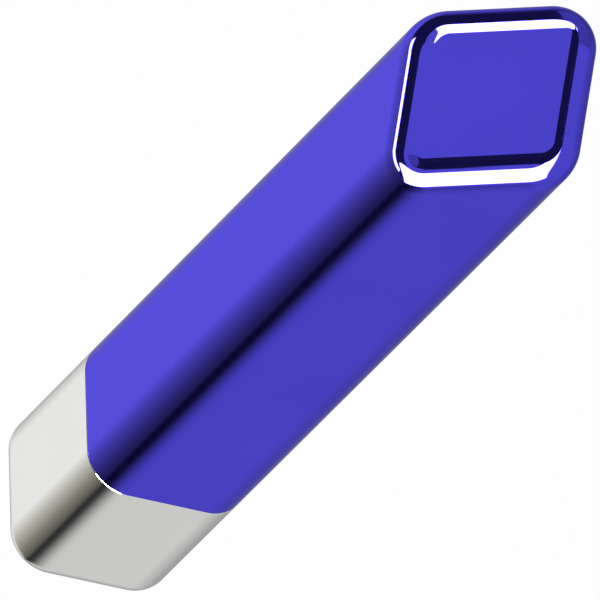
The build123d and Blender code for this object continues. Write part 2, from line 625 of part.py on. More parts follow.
# ---- feeder frame and drive -------------------------------------------------------------------
def feeder_frame():
    """The moulded frame that carries the fan, drive, board and idler, and closes the nose."""
    bulkhead_half = SPIGOT_HALF - SPIGOT_WALL - BULKHEAD_GAP
    body = square_bar(FRAME_X, FRAME_X + BULKHEAD_T, CAVITY - BULKHEAD_GAP, CAVITY_R - BULKHEAD_GAP)
    body = body + square_bar(SINK_END, FRAME_X + 0.5, bulkhead_half, 3.4)
    plate_x = FRAME_X + BULKHEAD_T - 0.5
    upper = FAN_TOP + 0.3
    for side in (-1, 1):
        y0, y1 = sorted((side * PLATE_IN, side * (PLATE_IN + PLATE_T)))
        body = body + block(plate_x, PLATE_REAR_X, y0, y1, upper, PLATE_TOP)
        body = body + block(FAN_X + FAN_SIDE / 2 + 0.8, PLATE_REAR_X, y0, y1, PLATE_FLOOR, PLATE_TOP)
        body = body + block(PLATE_REAR_X - 1, FRAME_REAR_X, y0, y1, 0.6, PLATE_TOP)
    outer = PLATE_IN + PLATE_T
    body = body + block(PLATE_REAR_X - 1, FRAME_REAR_X, PLATE_IN, outer, CARRIER_FLOOR_TOP, PLATE_TOP)
    foot_top = CARRIER_FLOOR_TOP + FOOT_T
    body = body + block(FOOT_X0, FRAME_REAR_X, -CARRIER_HALF, outer, CARRIER_FLOOR_TOP, foot_top)
    pad_x0, pad_x1 = ARM_PAD_X - SPRING_PAD_HALF, ARM_PAD_X + SPRING_PAD_HALF
    body = body + block(pad_x0, pad_x1, -outer, outer, SPRING_TOP, PLATE_TOP)
    bridge_x0, under = FRAME_REAR_X - BRIDGE_LEN, PLATE_TOP - BRIDGE_T
    body = body + block(bridge_x0, FRAME_REAR_X, -outer, outer, under, PLATE_TOP)
    lug_y = -BOARD_IN - 0.2
    for x in (FAN_X - 6.7, FAN_X + 6.7):
        y0 = -lug_y if x < FAN_X else PLATE_IN
        y1 = -PLATE_IN if x < FAN_X else lug_y
        body = body + block(x - 1.8, x + 1.8, y0, y1, FAN_TOP, FAN_TOP + 2.4)
    for x, z in BOARD_POSTS:
        body = body + rod_y(BOARD_POST_R, x, z, BOARD_IN, -PLATE_IN - 0.2)
    return cut(body, *frame_holes())


def frame_holes():
    """Every hole in the feeder frame."""
    outer = PLATE_IN + PLATE_T + 1
    tools = [rod(TUBE_R, (SINK_END - 1, 0, 0), (FRAME_X + 4, 0, 0))]
    for y in (-7.4, 7.4):
        tools.append(rod(SCREW_R + SCREW_CLEAR, (SINK_END - 1, y, 0), (FRAME_X + 4, y, 0)))
    tools.append(rod_y(BUSH_R, DRIVE_X, DRIVE_Z, -outer, outer))
    tools.append(rod_y(PIN_R, ARM_PIVOT_X, ARM_PIVOT_Z, -outer, outer))
    tools.append(rod_y(PIN_R, INTERMEDIATE_X, INTERMEDIATE_Z, 0, outer))
    tools.append(rod_y(2.2, MOTOR_X, MOTOR_Z, 0, outer))
    for x, z in motor_screw_places():
        tools.append(rod_y(SCREW_R + SCREW_CLEAR, x, z, 0, outer))
    for x, z in cover_screw_places():
        tools.append(rod_y(SCREW_R + SCREW_CLEAR, x, z, 0, outer))
    for x, z in BOARD_POSTS:
        tools.append(rod_y(SCREW_R, x, z, BOARD_IN - 1, -PLATE_IN - 1))
    for x, y in fan_screw_places():
        tools.append(rod(SCREW_R, (x, y, FAN_TOP - 1), (x, y, FAN_TOP + 2.0)))
    for x, y in carrier_screw_places():
        tools.append(rod(SCREW_R, (x, y, CARRIER_FLOOR_TOP - 1), (x, y, CARRIER_FLOOR_TOP + 3)))
    for z in (-WIRE_LANE_Z, WIRE_LANE_Z):
        tools.append(rod(WIRE_LANE_R, (SINK_END - 1, WIRE_LANE_Y, z), (FRAME_X + 4, WIRE_LANE_Y, z)))
    return tools


def motor_screw_places():
    """The two screws that hold the motor, as (x, z)."""
    return [(MOTOR_X - 3.4, MOTOR_Z + 2.4), (MOTOR_X + 3.4, MOTOR_Z - 2.4)]


def cover_screw_places():
    """The two screws and posts of the gear cover, as (x, z)."""
    return [(DRIVE_X - 1.0, 3.6), (MOTOR_X + 1.0, 3.4)]


def fan_screw_places():
    """The two diagonal screws of the fan, as (x, y)."""
    return [(FAN_X - 6.7, -6.7), (FAN_X + 6.7, 6.7)]


def carrier_screw_places():
    """The two screws of the rear carrier, as (x, y)."""
    return [(FOOT_X0 + 4.0, -3.0), (FOOT_X0 + 4.0, 3.0)]


def involute(base_r, radius):
    """The involute function of the pressure angle at a radius."""
    if radius <= base_r:
        return 0.0
    angle = math.acos(base_r / radius)
    return math.tan(angle) - angle


def gear_outline(teeth, turn):
    """The closed outline of a 20 degree spur gear about the origin, with a tooth at angle turn."""
    pitch_r = MODULE * teeth / 2
    base_r = pitch_r * math.cos(math.radians(20))
    root_r, tip_r = pitch_r - 1.25 * MODULE, pitch_r + 0.85 * MODULE
    half_at_pitch = TOOTH_SHARE * math.pi / (2 * teeth)
    radii = [max(root_r, base_r) + (tip_r - max(root_r, base_r)) * step / 3 for step in range(4)]
    flank = [(root_r, half_at_pitch + involute(base_r, pitch_r))]
    flank += [(r, half_at_pitch + involute(base_r, pitch_r) - involute(base_r, r)) for r in radii]
    points = []
    for tooth in range(teeth):
        centre = turn + 2 * math.pi * tooth / teeth
        points += [(r, centre - half) for r, half in flank]
        points += [(r, centre + half) for r, half in reversed(flank)]
    return [(r * math.cos(a), r * math.sin(a)) for r, a in points]


def spur_gear(teeth, x, z, y0, turn, bore_r):
    """A spur gear on an axis along Y."""
    points = [(x + u, y0, z + v) for u, v in gear_outline(teeth, turn)]
    face = make_face(Polyline(*points, close=True))
    return extrude(face, amount=LAYER_W, dir=(0, 1, 0)) - rod_y(bore_r, x, z, y0 - 1, y0 + LAYER_W + 1)


TO_INTERMEDIATE = math.atan2(INTERMEDIATE_Z - DRIVE_Z, INTERMEDIATE_X - DRIVE_X)
TO_MOTOR = math.atan2(MOTOR_Z - INTERMEDIATE_Z, MOTOR_X - INTERMEDIATE_X)


def drive_shaft():
    """The steel shaft that carries the drive wheel and its gear."""
    return rod_y(DRIVE_SHAFT_R, DRIVE_X, DRIVE_Z, -PLATE_IN - PLATE_T - 0.6, COVER_Y + COVER_T - 0.1)


def drive_wheel():
    """The hobbed wheel that bites into the filament."""
    half = DRIVE_WHEEL_W / 2
    body = ring_y(DRIVE_WHEEL_R, DRIVE_SHAFT_R, DRIVE_X, DRIVE_Z, -half, half)
    notches = 24
    for index in range(notches):
        angle = 2 * math.pi * index / notches
        x = DRIVE_X + (DRIVE_WHEEL_R + 0.15) * math.cos(angle)
        z = DRIVE_Z + (DRIVE_WHEEL_R + 0.15) * math.sin(angle)
        body = body - rod_y(0.35, x, z, -half - 1, half + 1)
    return body


def drive_gear():
    """The gear on the drive shaft, with a hub against the bush."""
    gear = spur_gear(DRIVE_TEETH, DRIVE_X, DRIVE_Z, LAYER_TWO_Y, TO_INTERMEDIATE, DRIVE_SHAFT_R)
    return gear + ring_y(DRIVE_HUB_R, DRIVE_SHAFT_R, DRIVE_X, DRIVE_Z, LAYER_ONE_Y, LAYER_TWO_Y + 0.1)


def drive_bushes():
    """Two flanged bronze bushes that carry the drive shaft."""
    bore = DRIVE_SHAFT_R + RUN_GAP
    bushes = []
    for side in (-1, 1):
        y_in, y_out = side * PLATE_IN, side * (PLATE_IN + PLATE_T)
        low, high = sorted((y_in, y_out))
        body = ring_y(BUSH_R, bore, DRIVE_X, DRIVE_Z, low, high)
        low, high = sorted((y_in, y_in - side * 0.5))
        bushes.append(body + ring_y(BUSH_R + 0.7, bore, DRIVE_X, DRIVE_Z, low, high))
    return group(*bushes)


def intermediate_pin():
    """The fixed pin that the intermediate gear turns on."""
    return rod_y(PIN_R, INTERMEDIATE_X, INTERMEDIATE_Z, PLATE_IN, COVER_Y + COVER_T)


def intermediate_gear():
    """The compound gear: a large gear from the motor and a small one to the drive gear."""
    half_pitch = math.pi / SMALL_TEETH
    bore = PIN_R + RUN_GAP
    small = spur_gear(
        SMALL_TEETH, INTERMEDIATE_X, INTERMEDIATE_Z, LAYER_TWO_Y,
        TO_INTERMEDIATE + math.pi + half_pitch, bore,
    )
    large = spur_gear(WHEEL_TEETH, INTERMEDIATE_X, INTERMEDIATE_Z, LAYER_ONE_Y, TO_MOTOR, bore)
    hub = ring_y(2.2, bore, INTERMEDIATE_X, INTERMEDIATE_Z, LAYER_ONE_Y, LAYER_TWO_Y + 0.2)
    return fused(large, hub, small)


def motor_pinion():
    """The pinion on the motor's shaft."""
    half_pitch = math.pi / PINION_TEETH
    turn = TO_MOTOR + math.pi + half_pitch
    return spur_gear(PINION_TEETH, MOTOR_X, MOTOR_Z, LAYER_ONE_Y, turn, PIN_R)


def motor_shaft():
    """The motor's output shaft."""
    return rod_y(PIN_R, MOTOR_X, MOTOR_Z, PLATE_IN - 1.5, LAYER_ONE_Y + LAYER_W + 0.6)


def gear_motor():
    """The motor can with its front boss and rear terminals."""
    back = PLATE_IN - MOTOR_LEN
    body = rod_y(MOTOR_R, MOTOR_X, MOTOR_Z, back, PLATE_IN)
    rounds = [e for e in body.edges() if e.geom_type == GeomType.CIRCLE and (e @ 0).Y < back + 0.1]
    body = fillet(rounds, 0.8)
    body = body + rod_y(2.1, MOTOR_X, MOTOR_Z, PLATE_IN - 0.2, PLATE_IN + PLATE_T - 0.2)
    body = body - rod_y(PIN_R + RUN_GAP, MOTOR_X, MOTOR_Z, PLATE_IN - 1.6, PLATE_IN + PLATE_T + 1)
    for x, z in motor_screw_places():
        body = body - rod_y(SCREW_R, x, z, PLATE_IN - 2.2, PLATE_IN + 1)
    for z in (-2.2, 2.2):
        low, high = MOTOR_Z + z - 0.2, MOTOR_Z + z + 0.2
        body = body + block(MOTOR_X - 0.7, MOTOR_X + 0.7, back - 0.9, back + 0.5, low, high)
    return body


def motor_screws():
    """Two screws through the frame's plate into the motor's face, with low heads."""
    outer = PLATE_IN + PLATE_T
    screws = []
    for x, z in motor_screw_places():
        body = rod_y(SCREW_R, x, z, PLATE_IN - 2.0, outer + 0.1) + rod_y(1.2, x, z, outer, outer + 0.3)
        screws.append(body)
    return group(*screws)


def gear_cover():
    """The plate outside the gears, with two posts down to the frame."""
    body = block(COVER_X0, COVER_X1, COVER_Y, COVER_Y + COVER_T, -8.2, 5.4)
    body = fillet(body.edges().filter_by(Axis.Y), 1.4)
    outer = PLATE_IN + PLATE_T
    for x, z in cover_screw_places():
        body = body + rod_y(1.7, x, z, outer, COVER_Y + 0.2)
    body = body - rod_y(DRIVE_SHAFT_R + RUN_GAP, DRIVE_X, DRIVE_Z, COVER_Y - 1, COVER_Y + COVER_T + 1)
    body = body - rod_y(PIN_R, INTERMEDIATE_X, INTERMEDIATE_Z, COVER_Y - 1, COVER_Y + COVER_T + 1)
    for x, z in cover_screw_places():
        body = body - rod_y(SCREW_R + SCREW_CLEAR, x, z, outer - 1, COVER_Y + COVER_T + 1)
    return body


def cover_screws():
    """The gear cover's screws, which run through its posts into the frame."""
    seat = COVER_Y + COVER_T
    length = seat - PLATE_IN - 0.2
    return group(*[screw_along((x, seat, z), (0, -1, 0), length) for x, z in cover_screw_places()])


# ---- idler ------------------------------------------------------------------------------------
def idler_arm():
    """The sprung arm that presses the roller on the filament."""
    cheek = make_face(Polyline(
        (ARM_PIVOT_X + 2.4, 0, ARM_PIVOT_Z - 1.0), (ARM_PIVOT_X + 1.4, 0, ARM_PIVOT_Z + 2.2),
        (ARM_PIVOT_X - 2.4, 0, ARM_PIVOT_Z + 2.0), (DRIVE_X, 0, ROLLER_Z + 4.6),
        (ARM_PAD_X + ARM_PAD_LEN / 2, 0, ARM_PAD_TOP + 1.2), (ARM_PAD_X - ARM_PAD_LEN / 2, 0, ARM_PAD_TOP),
        (ARM_PAD_X - ARM_PAD_LEN / 2, 0, ARM_PAD_TOP - 1.6), (DRIVE_X - 3.0, 0, ROLLER_Z - 1.4),
        (DRIVE_X, 0, ROLLER_Z - 2.4), (DRIVE_X + 3.4, 0, ROLLER_Z - 0.9), close=True,
    ))
    thickness = ARM_CHEEK_OUT - ARM_CHEEK_IN
    body = Pos(0, ARM_CHEEK_IN, 0) * extrude(cheek, amount=thickness, dir=(0, 1, 0))
    body = body + Pos(0, -ARM_CHEEK_OUT, 0) * extrude(cheek, amount=thickness, dir=(0, 1, 0))
    pad_x0, pad_x1 = ARM_PAD_X - ARM_PAD_LEN / 2, ARM_PAD_X + ARM_PAD_LEN / 2
    body = body + block(pad_x0, pad_x1, -ARM_CHEEK_OUT, ARM_CHEEK_OUT, ARM_PAD_TOP - 1.4, ARM_PAD_TOP)
    foot, tip = (ARM_PAD_X, 0, ARM_PAD_TOP - 0.5), (ARM_PAD_X, 0, ARM_PAD_TOP + 0.9)
    body = body + rod(SPRING_R - SPRING_WIRE_R - 0.25, foot, tip)
    body = body + rod_y(2.0, ARM_PIVOT_X, ARM_PIVOT_Z, -ARM_CHEEK_IN - 0.1, ARM_CHEEK_IN + 0.1)
    body = body - rod_y(PIN_R + RUN_GAP, ARM_PIVOT_X, ARM_PIVOT_Z, -5, 5)
    return body - rod_y(ROLLER_BORE_R, DRIVE_X, ROLLER_Z, -5, 5)


def idler_pivot_pin():
    """The pin that the idler arm swings on."""
    outer = PLATE_IN + PLATE_T
    return rod_y(PIN_R, ARM_PIVOT_X, ARM_PIVOT_Z, -outer, outer)


def idler_axle():
    """The short axle pressed across the idler arm."""
    return rod_y(ROLLER_BORE_R, DRIVE_X, ROLLER_Z, -ARM_CHEEK_OUT, ARM_CHEEK_OUT)


def idler_roller():
    """The grooved roller that presses the filament on the drive wheel."""
    half = ROLLER_W / 2
    body = ring_y(ROLLER_R, ROLLER_BORE_R + RUN_GAP, DRIVE_X, ROLLER_Z, -half, half)
    rims = [e for e in body.edges() if e.geom_type == GeomType.CIRCLE and e.radius > ROLLER_R - 0.1]
    return chamfer(rims, 0.35)


def idler_spring():
    """The compression spring between the arm's pad and the frame's top tie."""
    height = SPRING_TOP - ARM_PAD_TOP - 2 * SPRING_WIRE_R - 0.1
    path = Helix(pitch=SPRING_PITCH, height=height, radius=SPRING_R)
    path = Pos(ARM_PAD_X, 0, ARM_PAD_TOP + SPRING_WIRE_R + 0.05) * path
    start = Plane(origin=path @ 0, z_dir=path % 0)
    return sweep(start * Circle(SPRING_WIRE_R), path=path, is_frenet=True)


# ---- fan --------------------------------------------------------------------------------------
def fan_frame():
    """The square fan housing with its bore, hub plate and three struts."""
    half, low = FAN_SIDE / 2, FAN_TOP - FAN_T
    body = block(FAN_X - half, FAN_X + half, -half, half, low, FAN_TOP)
    body = fillet(body.edges().filter_by(Axis.Z), 1.8)
    body = body - rod(FAN_BORE_R, (FAN_X, 0, low - 1), (FAN_X, 0, FAN_TOP + 1))
    body = body + rod(FAN_HUB_R, (FAN_X, 0, FAN_TOP - 0.8), (FAN_X, 0, FAN_TOP))
    for index in range(3):
        strut = block(FAN_X + FAN_HUB_R - 0.5, FAN_X + FAN_BORE_R + 0.4, -0.6, 0.6, FAN_TOP - 0.8, FAN_TOP)
        body = body + Pos(FAN_X, 0, 0) * Rot(0, 0, 120 * index + 90) * Pos(-FAN_X, 0, 0) * strut
    body = body + rod(0.5, (FAN_X, 0, low + 1.2), (FAN_X, 0, FAN_TOP - 0.5))
    for x, y in fan_screw_places():
        body = body - rod(SCREW_R + SCREW_CLEAR, (x, y, low - 1), (x, y, FAN_TOP + 1))
    return body


def fan_rotor():
    """The fan's hub and blades, which turn on the housing's stud."""
    low, high = FAN_TOP - FAN_T + 0.5, FAN_TOP - 1.1
    body = rod(FAN_HUB_R, (FAN_X, 0, low), (FAN_X, 0, high))
    for index in range(FAN_BLADES):
        blade = block(FAN_X + FAN_HUB_R - 0.8, FAN_X + FAN_BLADE_R, -0.35, 0.35, -1.75, 1.75)
        blade = Pos(FAN_X, 0, (low + high) / 2) * Rot(40, 0, 0) * Pos(-FAN_X, 0, 0) * blade
        turn = Pos(FAN_X, 0, 0) * Rot(0, 0, 360 / FAN_BLADES * index) * Pos(-FAN_X, 0, 0)
        body = body + turn * blade
    return body - rod(0.5 + RUN_GAP, (FAN_X, 0, low + 0.6), (FAN_X, 0, high + 1))


def fan_screws():
    """Two screws up through the fan's corners into the frame's lugs."""
    low = FAN_TOP - FAN_T
    screws = []
    for x, y in fan_screw_places():
        shank = rod(SCREW_R, (x, y, low + 0.1), (x, y, FAN_TOP + 1.8))
        screws.append(shank)
    return group(*screws)


# ---- board and controls -----------------------------------------------------------------------
def main_board():
    """The long circuit board behind the controls."""
    body = block(BOARD_X0, BOARD_X1, BOARD_OUT, BOARD_IN, -BOARD_HALF, BOARD_HALF)
    body = fillet(body.edges().filter_by(Axis.Y), 0.8)
    for x, z in BOARD_POSTS:
        body = body - rod_y(SCREW_R + SCREW_CLEAR, x, z, BOARD_OUT - 1, BOARD_IN + 1)
    return body


def board_screws():
    """Three screws that hold the board on the frame's posts."""
    return group(*[screw_along((x, BOARD_OUT, z), (0, 1, 0), 3.2) for x, z in BOARD_POSTS])


def board_chips():
    """The controller, driver and regulator packages on the board's inner face."""
    places = ((49.0, 0.6, 6.0, 6.0), (61.0, -0.4, 5.0, 4.2), (86.0, 2.6, 5.0, 3.6))
    chips = []
    for x, z, length, width in places:
        body = block(x - length / 2, x + length / 2, BOARD_IN, BOARD_IN + 1.0, z - width / 2, z + width / 2)
        chips.append(chamfer(body.faces().sort_by(Axis.Y)[-1].edges(), 0.2))
    return group(*chips)


def tact_switches():
    """The three small switches under the keys."""
    top = BOARD_OUT - SWITCH_T
    switches = []
    for x in (FEED_X, RETRACT_X, POWER_X):
        half = SWITCH_SIDE / 2
        body = block(x - half, x + half, top, BOARD_OUT, KEY_Z - half, KEY_Z + half)
        switches.append(body + rod_y(1.1, x, KEY_Z, KEY_SEAT + KEY_FLANGE_T + KEY_TRAVEL + 0.05, top + 0.1))
    return group(*switches)


def key(outline_grow):
    """The Y stations of a key: outer face, flange front and flange back."""
    return -HALF + outline_grow, KEY_SEAT, KEY_SEAT + KEY_FLANGE_T


def pill_key(x):
    """A pill-shaped key: cap through the wall, dished face, and a flange that keeps it in."""
    face, seat, back = key(0.05)
    cap = pill_y(x, KEY_Z, KEY_LEN, KEY_WIDTH, face, seat + 0.1)
    outer = [e for e in cap.edges() if abs((e @ 0.5).Y - face) < 0.01]
    cap = fillet(outer, 0.3)
    flange = pill_y(x, KEY_Z, KEY_LEN + 2 * KEY_FLANGE, KEY_WIDTH + 2 * KEY_FLANGE, seat, back)
    return cap + flange


def arrow(x, direction):
    """A small raised triangle on a key that points along X."""
    face = -HALF + 0.05
    tip, tail = x + direction * 1.5, x - direction * 1.1
    outline = Polyline((tip, face + 0.3, 0), (tail, face + 0.3, 1.4), (tail, face + 0.3, -1.4), close=True)
    return extrude(make_face(outline), amount=0.25, dir=(0, -1, 0))


def feed_button():
    """The key that feeds filament, with an arrow towards the nozzle cut into it."""
    return pill_key(FEED_X) - arrow(FEED_X, -1).moved(Pos(0, -0.3, 0))


def retract_button():
    """The key that draws filament back, with an arrow towards the rear cut into it."""
    return pill_key(RETRACT_X) - arrow(RETRACT_X, 1).moved(Pos(0, -0.3, 0))


def power_button():
    """The round key that switches the heater on."""
    face, seat, back = key(0.05)
    cap = rod_y(POWER_R, POWER_X, KEY_Z, face, seat + 0.1)
    cap = fillet([e for e in cap.edges() if abs((e @ 0.5).Y - face) < 0.01], 0.3)
    cap = cap - ring_y(1.3, 0.95, POWER_X, KEY_Z, face - 1, face + 0.2)
    return cap + rod_y(POWER_R + KEY_FLANGE, POWER_X, KEY_Z, seat, back)


def status_lights():
    """Two clear light pipes that show power and heat."""
    pipes = []
    for z in (-LED_Z, LED_Z):
        pipe = rod_y(LED_R, LED_X, z, -HALF + 0.05, BOARD_OUT - 0.9)
        pipes.append(pipe + rod_y(LED_R + 0.4, LED_X, z, -CAVITY + 0.05, -CAVITY + 0.7))
    return group(*pipes)


def status_leds():
    """The two lamps on the board under the light pipes."""
    lamps = []
    for z in (-LED_Z, LED_Z):
        lamps.append(block(LED_X - 0.8, LED_X + 0.8, BOARD_OUT - 0.7, BOARD_OUT, z - 0.6, z + 0.6))
    return group(*lamps)


def speed_slider():
    """The sliding knob that sets the feed speed, with grip ridges and a stem to its control."""
    floor = -HALF + SLIDER_POCKET_DEPTH
    cap = pill_y(SLIDER_X, KEY_Z, SLIDER_LEN, SLIDER_WIDTH, -HALF + 0.05, floor - 0.05)
    for step in (-1, 0, 1):
        groove = block(SLIDER_X + step - 0.22, SLIDER_X + step + 0.22, -HALF - 1, -HALF + 0.35, -1.7, 1.7)
        cap = cap - groove
    stem_end = BOARD_OUT - 1.3
    stem = pill_y(SLIDER_X, KEY_Z, SLIDER_STEM_LEN, SLIDER_SLOT_W, floor - 0.3, stem_end)
    keeper_y = -CAVITY + 0.1
    keeper = block(SLIDER_X - 2.4, SLIDER_X + 2.4, keeper_y, keeper_y + 0.6, -2.2, 2.2)
    return fused(cap, stem, keeper)


def slide_control():
    """The slide control on the board that the knob's stem drives."""
    reach = SLIDER_TRAVEL + SLIDER_STEM_LEN / 2 + 0.2
    body = block(SLIDER_X - reach - 0.8, SLIDER_X + reach + 0.8, BOARD_OUT - 2.0, BOARD_OUT, -2.1, 2.1)
    slot_half = SLIDER_SLOT_W / 2 + 0.1
    near, far = BOARD_OUT - 3.0, BOARD_OUT - 0.5
    return body - block(SLIDER_X - reach, SLIDER_X + reach, near, far, -slot_half, slot_half)


# ---- power inlet ------------------------------------------------------------------------------
def port_shell():
    """The steel shell of the power socket, open towards the sleeve's side."""
    outer = pill_y(PORT_X, PORT_Z, PORT_LEN, PORT_HEIGHT, PORT_FACE, POWER_BOARD_OUT)
    wall = 2 * PORT_SHELL_T
    hollow_end = POWER_BOARD_OUT - 0.9
    return outer - pill_y(PORT_X, PORT_Z, PORT_LEN - wall, PORT_HEIGHT - wall, PORT_FACE - 1, hollow_end)


def port_tongue():
    """The contact tongue inside the power socket."""
    mouth, root = PORT_FACE + 0.9, POWER_BOARD_OUT - 0.9
    return block(PORT_X - 3.3, PORT_X + 3.3, mouth, root, PORT_Z - 0.35, PORT_Z + 0.35)


def power_board():
    """The small board behind the power socket."""
    body = block(
        POWER_BOARD_X0, POWER_BOARD_X1, POWER_BOARD_OUT, POWER_BOARD_IN, POWER_BOARD_BOTTOM, POWER_BOARD_TOP
    )
    body = body - beyond_end(CARRIER_LIMIT_X)
    return body - rod_y(SCREW_R + SCREW_CLEAR, POWER_BOARD_X0 + 2.2, POWER_BOARD_TOP - 2.4, -9, 0)


def rear_carrier():
    """The bracket that carries the power board, screwed under the feeder frame's foot."""
    low = CARRIER_FLOOR_TOP - CARRIER_T
    near = min(-CARRIER_HALF, POWER_BOARD_IN)
    body = block(FOOT_X0, POWER_BOARD_X1, near, CARRIER_HALF, low, CARRIER_FLOOR_TOP)
    back = POWER_BOARD_IN + CARRIER_UPRIGHT_T
    body = body + block(POWER_BOARD_X0, POWER_BOARD_X1, POWER_BOARD_IN, back, low, POWER_BOARD_TOP)
    body = body + block(POWER_BOARD_X0 + 4, POWER_BOARD_X0 + 5.2, back - 0.2, CARRIER_HALF, low, -3.0)
    body = body - beyond_end(CARRIER_LIMIT_X)
    for x, y in carrier_screw_places():
        body = body - rod(SCREW_R + SCREW_CLEAR, (x, y, low - 1), (x, y, CARRIER_FLOOR_TOP + 1))
    return body - rod_y(SCREW_R, POWER_BOARD_X0 + 2.2, POWER_BOARD_TOP - 2.4, -9, 0)


def carrier_screws():
    """Two screws up into the frame's foot and one that holds the power board."""
    low = CARRIER_FLOOR_TOP - CARRIER_T
    screws = [screw_along((x, y, low), (0, 0, 1), CARRIER_T + 1.3) for x, y in carrier_screw_places()]
    seat = (POWER_BOARD_X0 + 2.2, POWER_BOARD_OUT, POWER_BOARD_TOP - 2.4)
    screws.append(screw_along(seat, (0, 1, 0), 2.4))
    return group(*screws)


PARTS = {
    "housing_sleeve": housing_sleeve,
    "nose_shell": nose_shell,
    "nose_screws": nose_screws,
    "nose_insert": nose_insert,
    "nozzle": nozzle,
    "heater_block": heater_block,
    "heater_cartridge": heater_cartridge,
    "thermistor": thermistor,
    "silicone_sock": silicone_sock,
    "heat_break": heat_break,
    "heat_sink": heat_sink,
    "sink_screws": sink_screws,
    "front_guide_tube": front_guide_tube,
    "rear_guide_tube": rear_guide_tube,
    "inlet_bush": inlet_bush,
    "feeder_frame": feeder_frame,
    "drive_shaft": drive_shaft,
    "drive_wheel": drive_wheel,
    "drive_gear": drive_gear,
    "drive_bushes": drive_bushes,
    "intermediate_gear": intermediate_gear,
    "intermediate_pin": intermediate_pin,
    "motor_pinion": motor_pinion,
    "motor_shaft": motor_shaft,
    "gear_motor": gear_motor,
    "motor_screws": motor_screws,
    "gear_cover": gear_cover,
    "cover_screws": cover_screws,
    "idler_arm": idler_arm,
    "idler_pivot_pin": idler_pivot_pin,
    "idler_axle": idler_axle,
    "idler_roller": idler_roller,
    "idler_spring": idler_spring,
    "fan_frame": fan_frame,
    "fan_rotor": fan_rotor,
    "fan_screws": fan_screws,
    "main_board": main_board,
    "board_screws": board_screws,
    "board_chips": board_chips,
    "tact_switches": tact_switches,
    "feed_button": feed_button,
    "retract_button": retract_button,
    "power_button": power_button,
    "status_lights": status_lights,
    "status_leds": status_leds,
    "speed_slider": speed_slider,
    "slide_control": slide_control,
    "port_shell": port_shell,
    "port_tongue": port_tongue,
    "power_board": power_board,
    "rear_carrier": rear_carrier,
    "carrier_screws": carrier_screws,
}


def origin_station(shapes):
    """The station that becomes X = 0 in the row frame: half way along the whole pen."""
    front = shapes["nozzle"].bounding_box().min.X
    rear = shapes["housing_sleeve"].bounding_box().max.X
    return (front + rear) / 2


def main():
    """Builds every piece and writes one STEP file for each node."""
    os.makedirs("parts", exist_ok=True)
    shapes = {name: make() for name, make in PARTS.items()}
    place = Pos(-origin_station(shapes), 0, HALF)
    for name, shape in shapes.items():
        export_step(place * shape, f"parts/{name}.step")


if __name__ == "__main__":
    main()
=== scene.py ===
"""A handheld filament pen: blue mirror-plated sleeve, chrome nose and everything inside them."""

from __future__ import annotations

import json
import logging
import math
from dataclasses import dataclass, field
from enum import Enum
from typing import NamedTuple

import bmesh
import bpy
from mathutils import Matrix, Quaternion, Vector

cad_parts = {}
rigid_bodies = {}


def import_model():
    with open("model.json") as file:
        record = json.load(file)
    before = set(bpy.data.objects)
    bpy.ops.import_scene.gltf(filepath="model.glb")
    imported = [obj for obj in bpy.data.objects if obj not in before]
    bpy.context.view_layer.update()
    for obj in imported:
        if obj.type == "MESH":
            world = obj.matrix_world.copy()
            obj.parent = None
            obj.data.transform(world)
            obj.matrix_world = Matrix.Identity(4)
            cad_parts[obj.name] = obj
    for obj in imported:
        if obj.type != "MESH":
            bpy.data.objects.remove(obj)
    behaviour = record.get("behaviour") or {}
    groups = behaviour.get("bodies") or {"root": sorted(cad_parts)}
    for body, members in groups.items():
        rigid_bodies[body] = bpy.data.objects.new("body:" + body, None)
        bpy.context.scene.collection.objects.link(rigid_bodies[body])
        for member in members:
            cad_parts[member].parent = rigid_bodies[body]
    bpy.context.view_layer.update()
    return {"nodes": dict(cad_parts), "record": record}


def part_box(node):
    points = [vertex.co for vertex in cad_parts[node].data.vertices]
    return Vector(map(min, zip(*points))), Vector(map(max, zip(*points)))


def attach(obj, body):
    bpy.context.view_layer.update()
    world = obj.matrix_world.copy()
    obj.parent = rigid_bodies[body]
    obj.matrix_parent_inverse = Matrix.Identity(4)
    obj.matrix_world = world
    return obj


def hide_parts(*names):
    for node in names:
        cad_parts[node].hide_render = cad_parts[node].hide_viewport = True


LOG = logging.getLogger("filament_pen")
MM = 0.001


def clear_start_scene() -> None:
    """Removes the start-up cube, lamp and camera."""
    for thing in list(bpy.data.objects):
        bpy.data.objects.remove(thing)


clear_start_scene()
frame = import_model()


class Side(Enum):
    """A long side of the pen, as the outward direction of its face."""

    KEYS = (0.0, -1.0, 0.0)
    VENTS = (0.0, 0.0, -1.0)


Colour = tuple[float, float, float]


# ---- shader helpers ---------------------------------------------------------------------------
class NodeTree:
    """A node tree with short calls for adding and joining nodes."""

    def __init__(self, tree: bpy.types.NodeTree) -> None:
        """Takes over a tree and empties it."""
        self.tree = tree
        tree.nodes.clear()

    def add(self, kind: str, **settings: object) -> bpy.types.Node:
        """Adds a node with its attributes set and returns it."""
        node = self.tree.nodes.new(kind)
        for key, value in settings.items():
            setattr(node, key, value)
        return node

    def join(self, source: bpy.types.NodeSocket, target: bpy.types.NodeSocket) -> None:
        """Links an output to an input."""
        self.tree.links.new(source, target)


